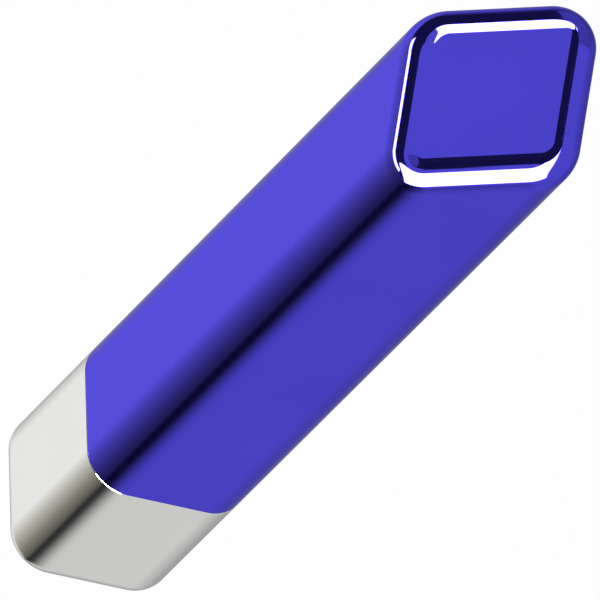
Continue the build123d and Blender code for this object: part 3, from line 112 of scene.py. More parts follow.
class Shader(NodeTree):
    """A material with one Principled shader."""

    def __init__(self, name: str) -> None:
        """Starts a material of this name that holds the shader alone."""
        self.material = bpy.data.materials.new(name)
        self.material.use_nodes = True
        super().__init__(self.material.node_tree)
        self.output = self.tree.nodes.new("ShaderNodeOutputMaterial")
        self.surface = self.tree.nodes.new("ShaderNodeBsdfPrincipled")
        self.join(self.surface.outputs[0], self.output.inputs[0])
        self.coords = self.tree.nodes.new("ShaderNodeTexCoord").outputs["Object"]

    def group(self, made: bpy.types.ShaderNodeTree, **values: float) -> bpy.types.Node:
        """Places a shared node group and sets its inputs.

        Args:
            made: the group.
            **values: input values, with spaces in their names as underscores.

        Returns:
            The group's node, fed with the Object coordinates.
        """
        node = self.add("ShaderNodeGroup")
        node.node_tree = made
        self.join(self.coords, node.inputs["Vector"])
        for key, value in values.items():
            node.inputs[key.replace("_", " ")].default_value = value
        return node

    def tint(self, mask: bpy.types.NodeSocket, low: Colour, high: Colour) -> None:
        """Makes the base colour run from one colour where the mask is 0 to another where it is 1."""
        node = self.add("ShaderNodeMix", data_type="RGBA")
        self.join(mask, node.inputs["Factor"])
        node.inputs[6].default_value = (*low, 1.0)
        node.inputs[7].default_value = (*high, 1.0)
        self.join(node.outputs[2], self.surface.inputs["Base Color"])

    def roughen(self, mask: bpy.types.NodeSocket, low: float, high: float) -> None:
        """Makes the roughness run from low where the mask is 0 to high where it is 1."""
        node = self.add("ShaderNodeMapRange")
        self.join(mask, node.inputs["Value"])
        node.inputs["To Min"].default_value = low
        node.inputs["To Max"].default_value = high
        self.join(node.outputs["Result"], self.surface.inputs["Roughness"])

    def bump(self, height: bpy.types.NodeSocket, strength: float, distance: float) -> None:
        """Feeds a height to the shader's normal.

        Args:
            height: the height's socket.
            strength: the bump's strength.
            distance: the height's size in metres.
        """
        node = self.add("ShaderNodeBump")
        node.inputs["Strength"].default_value = strength
        node.inputs["Distance"].default_value = distance
        self.join(height, node.inputs["Height"])
        self.join(node.outputs["Normal"], self.surface.inputs["Normal"])

    def fix(self, **values: object) -> None:
        """Sets constant values on the shader, with spaces in the socket names as underscores."""
        for key, value in values.items():
            self.surface.inputs[key.replace("_", " ")].default_value = value


class Pattern(NodeTree):
    """A shader node group with named inputs and outputs."""

    def __init__(self, name: str, inputs: dict[str, float], outputs: list[str]) -> None:
        """Makes the group and its sockets.

        Args:
            name: the group's name.
            inputs: float inputs with their defaults, besides Vector.
            outputs: float outputs.
        """
        super().__init__(bpy.data.node_groups.new(name, "ShaderNodeTree"))
        face = self.tree.interface
        face.new_socket("Vector", in_out="INPUT", socket_type="NodeSocketVector")
        for key, value in inputs.items():
            face.new_socket(key, in_out="INPUT", socket_type="NodeSocketFloat").default_value = value
        for key in outputs:
            face.new_socket(key, in_out="OUTPUT", socket_type="NodeSocketFloat")
        self.start = self.tree.nodes.new("NodeGroupInput")
        self.end = self.tree.nodes.new("NodeGroupOutput")

    def noise(self, scale: str, detail: float, roughness: float = 0.5) -> bpy.types.NodeSocket:
        """Adds a noise texture whose scale is the named input and returns its value."""
        node = self.add("ShaderNodeTexNoise")
        node.inputs["Detail"].default_value = detail
        node.inputs["Roughness"].default_value = roughness
        self.join(self.start.outputs["Vector"], node.inputs["Vector"])
        self.join(self.start.outputs[scale], node.inputs["Scale"])
        return node.outputs[0]

    def step(self, value: bpy.types.NodeSocket, low: float, high: float) -> bpy.types.NodeSocket:
        """Turns a value into a soft-edged mask and returns it."""
        node = self.add("ShaderNodeMapRange", interpolation_type="SMOOTHSTEP")
        node.inputs["From Min"].default_value = low
        node.inputs["From Max"].default_value = high
        self.join(value, node.inputs["Value"])
        return node.outputs["Result"]


class Patterns:
    """The shared effects: ripple, smudges, grain, tool marks, brushing and board traces."""

    def __init__(self) -> None:
        """Builds each group once."""
        self.ripple = self.make_ripple()
        self.smudge = self.make_smudge()
        self.grain = self.make_grain()
        self.turning = self.make_turning()
        self.brushing = self.make_brushing()
        self.traces = self.make_traces()

    def make_ripple(self) -> bpy.types.ShaderNodeTree:
        """The long soft unevenness of a plated moulding."""
        made = Pattern("plating_ripple", {"Scale": 60.0, "Fine Scale": 900.0}, ["Height", "Fine"])
        made.join(made.noise("Scale", 1.0), made.end.inputs["Height"])
        made.join(made.noise("Fine Scale", 2.0), made.end.inputs["Fine"])
        return made.tree

    def make_smudge(self) -> bpy.types.ShaderNodeTree:
        """Faint handling marks and dust."""
        made = Pattern("handling_marks", {"Scale": 140.0, "Dust Scale": 4200.0}, ["Smudge", "Dust"])
        made.join(made.step(made.noise("Scale", 4.0, 0.6), 0.52, 0.78), made.end.inputs["Smudge"])
        made.join(made.step(made.noise("Dust Scale", 1.0), 0.74, 0.80), made.end.inputs["Dust"])
        return made.tree

    def make_grain(self) -> bpy.types.ShaderNodeTree:
        """The fine spark-eroded grain of moulded plastic, with a slow change of tone."""
        made = Pattern("moulded_grain", {"Scale": 5200.0, "Tone Scale": 90.0}, ["Height", "Tone"])
        made.join(made.noise("Scale", 3.0, 0.65), made.end.inputs["Height"])
        made.join(made.noise("Tone Scale", 2.0), made.end.inputs["Tone"])
        return made.tree

    def make_turning(self) -> bpy.types.ShaderNodeTree:
        """Fine rings left by a lathe across an axis along X."""
        made = Pattern("turning_marks", {"Scale": 2600.0, "Tone Scale": 300.0}, ["Height", "Tone"])
        wave = made.add("ShaderNodeTexWave", wave_type="BANDS", bands_direction="X")
        wave.inputs["Distortion"].default_value = 0.6
        wave.inputs["Detail"].default_value = 2.0
        made.join(made.start.outputs["Vector"], wave.inputs["Vector"])
        made.join(made.start.outputs["Scale"], wave.inputs["Scale"])
        made.join(wave.outputs["Fac"], made.end.inputs["Height"])
        made.join(made.noise("Tone Scale", 3.0), made.end.inputs["Tone"])
        return made.tree

    def make_brushing(self) -> bpy.types.ShaderNodeTree:
        """Short drawn lines in steel or aluminium."""
        made = Pattern("drawn_lines", {"Scale": 1500.0, "Tone Scale": 220.0}, ["Height", "Tone"])
        stretch = made.add("ShaderNodeMapping")
        stretch.inputs["Scale"].default_value = (0.12, 1.0, 1.0)
        made.join(made.start.outputs["Vector"], stretch.inputs["Vector"])
        lines = made.add("ShaderNodeTexNoise")
        lines.inputs["Detail"].default_value = 4.0
        made.join(stretch.outputs["Vector"], lines.inputs["Vector"])
        made.join(made.start.outputs["Scale"], lines.inputs["Scale"])
        made.join(lines.outputs[0], made.end.inputs["Height"])
        made.join(made.noise("Tone Scale", 3.0), made.end.inputs["Tone"])
        return made.tree

    def make_traces(self) -> bpy.types.ShaderNodeTree:
        """Copper tracks and vias under a solder mask."""
        made = Pattern("board_tracks", {"Scale": 420.0, "Via Scale": 260.0}, ["Track", "Via"])
        cells = made.add("ShaderNodeTexVoronoi", feature="DISTANCE_TO_EDGE", distance="CHEBYCHEV")
        cells.inputs["Randomness"].default_value = 0.9
        made.join(made.start.outputs["Vector"], cells.inputs["Vector"])
        made.join(made.start.outputs["Scale"], cells.inputs["Scale"])
        made.join(made.step(cells.outputs["Distance"], 0.10, 0.05), made.end.inputs["Track"])
        dots = made.add("ShaderNodeTexVoronoi", feature="F1")
        made.join(made.start.outputs["Vector"], dots.inputs["Vector"])
        made.join(made.start.outputs["Via Scale"], dots.inputs["Scale"])
        made.join(made.step(dots.outputs["Distance"], 0.16, 0.12), made.end.inputs["Via"])
        return made.tree


# ---- finishes ---------------------------------------------------------------------------------
@dataclass(frozen=True)
class Plating:
    """Mirror-bright plating over a moulded shell."""

    name: str
    colour: Colour
    deep: Colour
    roughness: float
    ripple: float
    ripple_scale: float
    edge: Colour = (0.9, 0.9, 0.9)

    def build(self, patterns: Patterns) -> bpy.types.Material:
        """Makes the material with ripple, handling marks and a slow change of tone."""
        shader = Shader(self.name)
        ripple = shader.group(patterns.ripple, Scale=self.ripple_scale)
        marks = shader.group(patterns.smudge)
        shader.tint(ripple.outputs["Height"], self.deep, self.colour)
        shader.roughen(marks.outputs["Smudge"], self.roughness, self.roughness + 0.035)
        shader.bump(ripple.outputs["Height"], 1.0, self.ripple)
        shader.fix(Metallic=1.0, Specular_Tint=(*self.edge, 1.0))
        return shader.material


@dataclass(frozen=True)
class MouldedPlastic:
    """Moulded plastic, silicone or acetal with a fine grain."""

    name: str
    colour: Colour
    light: Colour
    roughness: float = 0.5
    grain: float = 0.00002
    subsurface: float = 0.0
    alpha: float = 1.0

    def build(self, patterns: Patterns) -> bpy.types.Material:
        """Makes the material with grain, tone and dust."""
        shader = Shader(self.name)
        grain = shader.group(patterns.grain)
        marks = shader.group(patterns.smudge)
        shader.tint(grain.outputs["Tone"], self.colour, self.light)
        shader.roughen(marks.outputs["Smudge"], self.roughness, self.roughness + 0.15)
        shader.bump(grain.outputs["Height"], 0.35, self.grain)
        shader.fix(Subsurface_Weight=self.subsurface, Subsurface_Scale=0.001, Alpha=self.alpha)
        return shader.material


@dataclass(frozen=True)
class MachinedMetal:
    """Turned or drawn bare metal."""

    name: str
    colour: Colour
    dull: Colour
    roughness: float
    turned: bool
    scale: float = 2200.0

    def build(self, patterns: Patterns) -> bpy.types.Material:
        """Makes the material with its tool marks and a little tarnish."""
        shader = Shader(self.name)
        marks = shader.group(patterns.turning if self.turned else patterns.brushing, Scale=self.scale)
        tarnish = shader.group(patterns.smudge, Scale=260.0)
        shader.tint(marks.outputs["Tone"], self.dull, self.colour)
        shader.roughen(tarnish.outputs["Smudge"], self.roughness, self.roughness + 0.18)
        shader.bump(marks.outputs["Height"], 0.25, 0.00002)
        shader.fix(Metallic=1.0)
        return shader.material


@dataclass(frozen=True)
class Laminate:
    """Circuit board under a solder mask."""

    name: str
    mask: Colour
    track: Colour

    def build(self, patterns: Patterns) -> bpy.types.Material:
        """Makes the material with raised tracks and plated vias."""
        shader = Shader(self.name)
        tracks = shader.group(patterns.traces)
        shader.tint(tracks.outputs["Track"], self.mask, self.track)
        shader.join(tracks.outputs["Via"], shader.surface.inputs["Metallic"])
        shader.bump(tracks.outputs["Track"], 0.4, 0.00003)
        shader.fix(Roughness=0.32, Coat_Weight=0.3)
        return shader.material


@dataclass(frozen=True)
class ClearMoulding:
    """Clear light pipe or lens."""

    name: str
    tint: Colour

    def build(self, patterns: Patterns) -> bpy.types.Material:
        """Makes the clear material with faint handling marks in its gloss."""
        shader = Shader(self.name)
        marks = shader.group(patterns.smudge)
        shader.roughen(marks.outputs["Smudge"], 0.05, 0.16)
        shader.fix(Base_Color=(*self.tint, 1.0), Transmission_Weight=0.85, IOR=1.49)
        return shader.material


FINISHES = {finish.name: finish for finish in (
    Plating(
        "blue_plating", (0.105, 0.088, 0.90), (0.092, 0.076, 0.84), 0.045, 0.00006, 46.0, (0.65, 0.62, 0.88)
    ),
    Plating(
        "chrome_plating", (0.975, 0.975, 0.965), (0.94, 0.945, 0.935), 0.035, 0.00006, 60.0
    ),
    Plating("key_chrome", (0.93, 0.93, 0.93), (0.88, 0.88, 0.89), 0.10, 0.00001, 200.0),
    MachinedMetal("black_screw", (0.06, 0.06, 0.065), (0.03, 0.03, 0.035), 0.32, True),
    MouldedPlastic("heat_resin", (0.018, 0.018, 0.02), (0.03, 0.03, 0.032), 0.48),
    MachinedMetal("brass", (0.78, 0.56, 0.24), (0.60, 0.42, 0.17), 0.22, True, 1700.0),
    MachinedMetal("aluminium", (0.78, 0.79, 0.80), (0.62, 0.63, 0.65), 0.28, True, 1500.0),
    MachinedMetal("steel", (0.66, 0.66, 0.67), (0.50, 0.50, 0.51), 0.26, False),
    ClearMoulding("sensor_glass", (0.82, 0.66, 0.42)),
    MouldedPlastic("silicone", (0.30, 0.045, 0.025), (0.36, 0.06, 0.035), 0.62, 0.00001, 0.1),
    MouldedPlastic("guide_tube", (0.80, 0.82, 0.82), (0.88, 0.89, 0.89), 0.28, 0.000004, 0.35),
    MouldedPlastic("dark_resin", (0.022, 0.022, 0.025), (0.034, 0.034, 0.037), 0.42),
    MouldedPlastic("frame_resin", (0.055, 0.056, 0.060), (0.08, 0.081, 0.085), 0.55, 0.00004),
    MouldedPlastic("gear_resin", (0.78, 0.75, 0.66), (0.84, 0.81, 0.73), 0.36, 0.000006, 0.15),
    MouldedPlastic("fan_resin", (0.012, 0.012, 0.014), (0.020, 0.020, 0.022), 0.46),
    Laminate("board_green", (0.010, 0.095, 0.040), (0.022, 0.17, 0.075)),
    MouldedPlastic("chip_black", (0.014, 0.014, 0.015), (0.024, 0.024, 0.025), 0.40, 0.00001),
    ClearMoulding("clear_lens", (0.86, 0.90, 0.95)),
    MouldedPlastic("lamp_white", (0.85, 0.84, 0.74), (0.92, 0.91, 0.84), 0.30, 0.000002, 0.2),
)}


class FinishRack:
    """Builds each finish once and hands it out by slot name."""

    def __init__(self) -> None:
        """Builds the patterns and every material."""
        patterns = Patterns()
        self.made = {slot: finish.build(patterns) for slot, finish in FINISHES.items()}

    def of(self, slot: str) -> bpy.types.Material:
        """The material of a slot."""
        return self.made[slot]


# ---- mesh helpers -----------------------------------------------------------------------------
def rounded_bar(x0: float, x1: float, half: float, radius: float, segments: int) -> bmesh.types.BMesh:
    """A closed bar of rounded square section along X, about the pen's axis.

    Args:
        x0: the front station's X.
        x1: the rear station's X.
        half: half the side of the section.
        radius: the radius of the four long edges.
        segments: how many facets each rounded edge has.

    Returns:
        The mesh, in the row frame.
    """
    bm = bmesh.new()
    bmesh.ops.create_cube(bm, size=1.0)
    bmesh.ops.scale(bm, vec=(x1 - x0, 2 * half, 2 * half), verts=bm.verts)
    long_edges = [e for e in bm.edges if abs(e.verts[0].co.x - e.verts[1].co.x) > 1e-6]
    bmesh.ops.bevel(
        bm, geom=long_edges, offset=radius, segments=segments, profile=0.5, affect="EDGES", material=-1
    )
    bmesh.ops.translate(bm, vec=((x0 + x1) / 2, 0.0, PEN.axis_z), verts=bm.verts)
    return bm


def pill_prism(length: float, width: float, depth: float, segments: int = 40) -> bmesh.types.BMesh:
    """A closed prism with a round-ended outline, long way along X, standing on XY.

    Args:
        length: its overall length.
        width: its width.
        depth: its height along Z.
        segments: how many sides its round ends have together.

    Returns:
        The mesh about its own origin, from Z = 0 up.
    """
    bm = bmesh.new()
    bmesh.ops.create_circle(bm, cap_ends=True, radius=width / 2, segments=segments)
    bmesh.ops.rotate(bm, matrix=Matrix.Rotation(math.pi / segments, 3, "Z"), verts=bm.verts)
    reach = (length - width) / 2
    for way in (-1.0, 1.0):
        end = [v for v in bm.verts if v.co.x * way > 0]
        bmesh.ops.translate(bm, vec=(way * reach, 0.0, 0.0), verts=end)
    raised = bmesh.ops.extrude_face_region(bm, geom=bm.faces[:])
    top = [v for v in raised["geom"] if isinstance(v, bmesh.types.BMVert)]
    bmesh.ops.translate(bm, vec=(0.0, 0.0, depth), verts=top)
    bmesh.ops.recalc_face_normals(bm, faces=bm.faces)
    return bm


def flared_pill(length: float, width: float, depth: float, flare: float) -> bmesh.types.BMesh:
    """A cutter for an opening with a small chamfer at the wall's outer face.

    Args:
        length: the opening's length along X.
        width: the opening's width.
        depth: how far the opening goes in.
        flare: the chamfer's size.

    Returns:
        The mesh about its own origin, where Z = 0 is the wall's outer face and -Z is into it.
    """
    bm = pill_prism(length, width, depth)
    bmesh.ops.translate(bm, vec=(0.0, 0.0, -depth), verts=bm.verts)
    outer = [f for f in bm.faces if f.normal.z > 0.5]
    for rise, grow in ((0.0, 0.0), (flare, 2 * flare), (2 * flare, 0.0)):
        if rise == 0.0:
            top = [v for v in bm.verts if v.co.z > -1e-9]
            bmesh.ops.translate(bm, vec=(0.0, 0.0, -flare), verts=top)
            continue
        made = bmesh.ops.extrude_face_region(bm, geom=outer)
        fresh = [v for v in made["geom"] if isinstance(v, bmesh.types.BMVert)]
        bmesh.ops.delete(bm, geom=outer, context="FACES")
        outer = [f for f in made["geom"] if isinstance(f, bmesh.types.BMFace)]
        bmesh.ops.translate(bm, vec=(0.0, 0.0, rise), verts=fresh)
        bmesh.ops.scale(bm, vec=((length + grow) / length, (width + grow) / width, 1.0), verts=fresh)
    bmesh.ops.recalc_face_normals(bm, faces=bm.faces)
    return bm


def pill_cut(length: float, width: float, depth: float) -> bmesh.types.BMesh:
    """A plain cutter for a slot, from just outside the wall to a depth inside it."""
    bm = pill_prism(length, width, depth + 1.0 * MM)
    bmesh.ops.translate(bm, vec=(0.0, 0.0, -depth), verts=bm.verts)
    return bm


def vent_cutter() -> bmesh.types.BMesh:
    """The cutter for one cooling slot, which runs across a side."""
    slot = pill_cut(12.0 * MM, 1.4 * MM, 3.0 * MM)
    bmesh.ops.rotate(slot, matrix=Matrix.Rotation(math.pi / 2, 3, "Z"), verts=slot.verts)
    return slot


def turned_to(side: Side) -> Matrix:
    """The turn that takes a cutter's +Z to a side's outward direction, with its length still on X."""
    return Matrix.Rotation(math.pi / 2 if side is Side.KEYS else math.pi, 4, "X")


def on_side(bm: bmesh.types.BMesh, side: Side, x: float, across: float) -> bmesh.types.BMesh:
    """Moves a cutter from its own origin to the outer face of a long side.

    Args:
        bm: the cutter.
        side: which long side.
        x: its place along the pen, in the row frame.
        across: its place across the side: height above the axis, or Y.

    Returns:
        The same mesh, moved.
    """
    bmesh.ops.transform(bm, matrix=turned_to(side), verts=bm.verts)
    if side is Side.KEYS:
        place = Vector((x, -PEN.half, PEN.axis_z + across))
    else:
        place = Vector((x, across, PEN.axis_z - PEN.half))
    bmesh.ops.translate(bm, vec=place, verts=bm.verts)
    return bm


def to_object(name: str, bm: bmesh.types.BMesh) -> bpy.types.Object:
    """Puts a mesh in an object at the origin and frees the bmesh."""
    mesh = bpy.data.meshes.new(name)
    bm.to_mesh(mesh)
    bm.free()
    made = bpy.data.objects.new(name, mesh)
    bpy.context.scene.collection.objects.link(made)
    return made


def baked(thing: bpy.types.Object) -> bpy.types.Object:
    """Applies an object's modifiers to its mesh and returns it."""
    bpy.context.view_layer.update()
    shown = thing.evaluated_get(bpy.context.evaluated_depsgraph_get())
    mesh = bpy.data.meshes.new_from_object(shown)
    thing.modifiers.clear()
    old, thing.data = thing.data, mesh
    bpy.data.meshes.remove(old)
    return thing


def cut(thing: bpy.types.Object, cutters: list[bmesh.types.BMesh]) -> bpy.types.Object:
    """Takes each cutter away from an object.

    Args:
        thing: the object.
        cutters: closed meshes, which are freed.

    Returns:
        The same object with its new mesh.
    """
    tools = [to_object(f"cutter_{index}", bm) for index, bm in enumerate(cutters)]
    for tool in tools:
        step = thing.modifiers.new("opening", "BOOLEAN")
        step.operation = "DIFFERENCE"
        step.solver = "EXACT"
        step.object = tool
    baked(thing)
    for tool in tools:
        bpy.data.meshes.remove(tool.data)
    return thing


def finished(
    thing: bpy.types.Object, body: str, material: bpy.types.Material, nodes: tuple[str, ...]
) -> bpy.types.Object:
    """Shades a piece, gives it its finish and rides it on its body.

    Args:
        thing: the piece.
        body: the CAD body that it moves with.
        material: its finish.
        nodes: the CAD nodes that it stands for.

    Returns:
        The same object.
    """
    mesh = thing.data
    mesh.materials.clear()
    mesh.materials.append(material)
    mesh.shade_smooth()
    mesh.set_sharp_from_angle(angle=math.radians(28.0))
    even = thing.modifiers.new("even_normals", "WEIGHTED_NORMAL")
    even.keep_sharp = True
    even.mode = "FACE_AREA"
    even.weight = 50
    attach(thing, body)
    if nodes:
        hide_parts(*nodes)
    LOG.info("piece %s: %d faces on body %s", thing.name, len(mesh.polygons), body)
    return thing


# ---- the pen's shells -------------------------------------------------------------------------
@dataclass
class PenFrame:
    """The sizes that both shells share, in metres."""

    half: float = 0.014
    corner: float = 0.007
    wall: float = 0.0016
    front_x: float = field(default_factory=lambda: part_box("nose_shell")[0].x)

    @property
    def axis_z(self) -> float:
        """The height of the pen's own axis."""
        return self.half

    def x(self, station: float) -> float:
        """The X of a station, which is counted in millimetres from the nose's front face."""
        return self.front_x + station * MM

    def station(self, node: str) -> float:
        """The station of the middle of a CAD node, in millimetres."""
        low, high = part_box(node)
        return ((low.x + high.x) / 2 - self.front_x) / MM


class Opening(NamedTuple):
    """An opening in the side with the controls, in millimetres. A flare of 0 leaves its edge square."""

    node: str
    across: float
    length: float
    width: float
    depth: float
    flare: float


PEN = PenFrame()
ROUND = 0.0001  # what a round opening's length has over its width
SCREW_STATION = 34.4
VENT_PITCH = 3.0
CONTROL_OPENINGS = (
    Opening("feed_button", 0.0, 9.9, 6.7, 3.0, 0.12),
    Opening("retract_button", 0.0, 9.9, 6.7, 3.0, 0.12),
    Opening("power_button", 0.0, 5.5 + ROUND, 5.5, 3.0, 0.12),
    Opening("status_lights", -2.4, 1.72 + ROUND, 1.72, 3.0, 0.05),
    Opening("status_lights", 2.4, 1.72 + ROUND, 1.72, 3.0, 0.05),
    Opening("speed_slider", 0.0, 13.7, 5.5, 0.9, 0.12),
    Opening("speed_slider", 0.0, 9.5, 2.1, 3.0, 0.0),
    Opening("port_shell", -4.0, 12.54, 6.76, 0.7, 0.12),
    Opening("port_shell", -4.0, 9.34, 3.56, 3.0, 0.0),
)


@dataclass
class Sleeve:
    """The blue sleeve with its slanted, rimmed end and the openings in two of its sides."""

    seam: float = 30.8
    rear_middle: float = 149.14
    slope_y: float = 0.5635
    slope_z: float = 0.4512
    rear_wall: float = 0.0034
    end_round: float = 0.0039
    rim: float = 0.0031
    shift: tuple[float, float] = (0.0010, 0.0005)
    dish_corner: float = 0.0030
    slope_width: float = 0.0021
    dish_depth: float = 0.00067
    straight: float = 0.6
    slope_steps: int = 10
    end_rings: int = 18
    clear: float = 0.0001
    inlet_radius: float = 0.003
    inlet_angle: float = math.radians(35.0)
    vents: int = 5
    facets: int = 28

    @property
    def end_normal(self) -> Vector:
        """The outward direction of the slanted end."""
        return Vector((1.0, self.slope_y, self.slope_z)).normalized()

    def end_point(self, sink: float) -> Vector:
        """Where the slanted plane, moved in by a distance, meets the pen's axis."""
        back = sink / self.end_normal.x
        return Vector((PEN.x(self.rear_middle) - back, 0.0, PEN.axis_z))

    def slanted_bar(self, start: float, half: float, corner: float, sink: float) -> tuple:
        """A rounded bar that ends in the slanted plane.

        Args:
            start: the X of its flat front.
            half: half its side.
            corner: the radius of its long edges.
            sink: how far its end lies inside the sleeve's outer end.

        Returns:
            The mesh and its slanted face.
        """
        bm = rounded_bar(start, PEN.x(self.rear_middle + 20.0), half, corner, self.facets)
        parts = bm.verts[:] + bm.edges[:] + bm.faces[:]
        sliced = bmesh.ops.bisect_plane(
            bm, geom=parts, plane_co=self.end_point(sink), plane_no=self.end_normal, clear_outer=True
        )
        rim = [e for e in sliced["geom_cut"] if isinstance(e, bmesh.types.BMEdge)]
        made = bmesh.ops.contextual_create(bm, geom=rim)
        cap = made["faces"][0]
        bmesh.ops.recalc_face_normals(bm, faces=bm.faces)
        return bm, cap

    def fade(self, part: float) -> float:
        """The share of the depth reached at a part of the slope: straight at first, then easing off."""
        past = max(0.0, part - self.straight)
        return (part - past**2 / (2 * (1 - self.straight))) * 2 / (1 + self.straight)

    def dish_cutter(self) -> bmesh.types.BMesh:
        """The block whose slanted, stepped face leaves the rim, its inner slope and the panel."""
        start, end = PEN.x(self.rear_middle - 30.0), PEN.x(self.rear_middle + 40.0)
        bm = rounded_bar(start, end, PEN.half - self.rim, self.dish_corner, self.facets)
        bmesh.ops.translate(bm, vec=(0.0, *self.shift), verts=bm.verts)
        parts = bm.verts[:] + bm.edges[:] + bm.faces[:]
        sliced = bmesh.ops.bisect_plane(
            bm, geom=parts, plane_co=self.end_point(-self.clear), plane_no=self.end_normal, clear_inner=True
        )
        cut_edges = [e for e in sliced["geom_cut"] if isinstance(e, bmesh.types.BMEdge)]
        cap = bmesh.ops.contextual_create(bm, geom=cut_edges)["faces"][0]
        bmesh.ops.recalc_face_normals(bm, faces=bm.faces)
        steps = self.slope_steps
        depth = self.dish_depth + self.clear
        for index in range(steps):
            low, high = index / steps, (index + 1) / steps
            rise = (self.fade(high) - self.fade(low)) * depth
            bmesh.ops.inset_region(
                bm, faces=[cap], thickness=self.slope_width / steps, depth=rise, use_even_offset=True
            )
        return bm

    def side_direction(self, point: Vector) -> Vector:
        """The outward direction of the long side next to a point of the section's outline."""
        core = PEN.half - PEN.corner
        y, z = point.y, point.z - PEN.axis_z
        off = Vector((0.0, y - max(-core, min(core, y)), z - max(-core, min(core, z))))
        return off.normalized()

    def body(self) -> bmesh.types.BMesh:
        """The closed outer form: the slanted face, carried round its edges by rings and on to the seam.

        Returns:
            The mesh, in the row frame.
        """
        radius, rings = self.end_round, self.end_rings
        bm, cap = self.slanted_bar(PEN.x(self.seam), PEN.half - radius, PEN.corner - radius, radius)
        others = [f for f in bm.faces if f is not cap]
        bmesh.ops.delete(bm, geom=others, context="FACES")
        normal = self.end_normal
        centres = {v: (v.co.copy(), self.side_direction(v.co)) for v in bm.verts}
        bmesh.ops.translate(bm, vec=normal * radius, verts=bm.verts)
        edge = [e for e in bm.edges if e.is_boundary]
        for ring in range(1, rings + 2):
            made = bmesh.ops.extrude_edge_only(bm, edges=edge)["geom"]
            fresh = [v for v in made if isinstance(v, bmesh.types.BMVert)]
            edge = [e for e in made if isinstance(e, bmesh.types.BMEdge) and e.is_boundary]
            following = {}
            for vert in fresh:
                before = next(e.other_vert(vert) for e in vert.link_edges if e.other_vert(vert) in centres)
                centre, outward = centres[before]
                following[vert] = (centre, outward)
                if ring > rings:
                    vert.co.x = PEN.x(self.seam)
                else:
                    turn = normal.rotation_difference(outward)
                    vert.co = centre + Quaternion(turn.axis, turn.angle * ring / rings) @ normal * radius
            centres = following
        bmesh.ops.contextual_create(bm, geom=edge)
        bmesh.ops.recalc_face_normals(bm, faces=bm.faces)
        return bm

    def openings(self) -> list[bmesh.types.BMesh]:
        """The cutters for keys, lights, slider, socket, inlet, vents and screws."""
        made: list[bmesh.types.BMesh] = []
        for row in CONTROL_OPENINGS:
            length, width, depth = row.length * MM, row.width * MM, row.depth * MM
            if row.flare:
                tool = flared_pill(length, width, depth, row.flare * MM)
            else:
                tool = pill_cut(length, width, depth)
            made.append(on_side(tool, Side.KEYS, PEN.x(PEN.station(row.node)), row.across * MM))
        made.append(self.inlet_cutter())
        made += [self.screw_cutter(side) for side in Side]
        fan_low, fan_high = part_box("fan_frame")
        fan_x = (fan_low.x + fan_high.x) / 2
        for index in range(self.vents):
            made.append(on_side(vent_cutter(), Side.VENTS, fan_x + (index - 2) * VENT_PITCH * MM, 0.0))
        return made

    def inlet_cutter(self) -> bmesh.types.BMesh:
        """The slanted round hole that the inlet bush sits in."""
        bm = bmesh.new()
        radius = self.inlet_radius
        bmesh.ops.create_cone(bm, cap_ends=True, segments=64, radius1=radius, radius2=radius, depth=20.0 * MM)
        lie = Matrix.Rotation(-self.inlet_angle, 4, "Z") @ Matrix.Rotation(math.pi / 2, 4, "Y")
        bmesh.ops.transform(bm, matrix=lie, verts=bm.verts)
        bmesh.ops.translate(bm, vec=self.inlet_mouth(), verts=bm.verts)
        return bm

    def inlet_mouth(self) -> Vector:
        """Where the inlet's axis meets the sleeve's side."""
        low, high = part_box("inlet_bush")
        reach = self.inlet_radius / math.sin(self.inlet_angle)
        return Vector((high.x - reach, -PEN.half, (low.z + high.z) / 2))

    def screw_cutter(self, side: Side) -> bmesh.types.BMesh:
        """The countersunk hole of one nose screw."""
        bm = bmesh.new()
        bmesh.ops.create_circle(bm, cap_ends=True, radius=1.96 * MM, segments=40)
        bmesh.ops.translate(bm, vec=(0.0, 0.0, 0.5 * MM), verts=bm.verts)
        last = bm.faces[:]
        for fall, radius in ((0.5, 1.96), (0.9, 1.06), (2.4, 1.06)):
            made = bmesh.ops.extrude_face_region(bm, geom=last)
            fresh = [v for v in made["geom"] if isinstance(v, bmesh.types.BMVert)]
            last = [f for f in made["geom"] if isinstance(f, bmesh.types.BMFace)]
            bmesh.ops.translate(bm, vec=(0.0, 0.0, -fall * MM), verts=fresh)
            now = fresh[0].co.xy.length
            bmesh.ops.scale(bm, vec=(radius * MM / now, radius * MM / now, 1.0), verts=fresh)
        bmesh.ops.recalc_face_normals(bm, faces=bm.faces)
        return on_side(bm, side, PEN.x(SCREW_STATION), 0.0)

    def build(self, rack: FinishRack) -> bpy.types.Object:
        """Builds the sleeve and finishes it in blue plating."""
        bm = self.body()
        front = [e for e in bm.edges if all(abs(v.co.x - PEN.x(self.seam)) < 1e-7 for v in e.verts)]
        bmesh.ops.bevel(
            bm, geom=front, offset=0.17 * MM, segments=4, profile=0.5, affect="EDGES", material=-1
        )
        sleeve = to_object("sleeve", bm)
        half, corner = PEN.half - PEN.wall, PEN.corner - PEN.wall
        cavity, _ = self.slanted_bar(PEN.x(self.seam - 1.0), half, corner, self.rear_wall)
        cut(sleeve, [self.dish_cutter()])
        cut(sleeve, [cavity, *self.openings()])
        return finished(sleeve, "housing", rack.of("blue_plating"), ("housing_sleeve",))


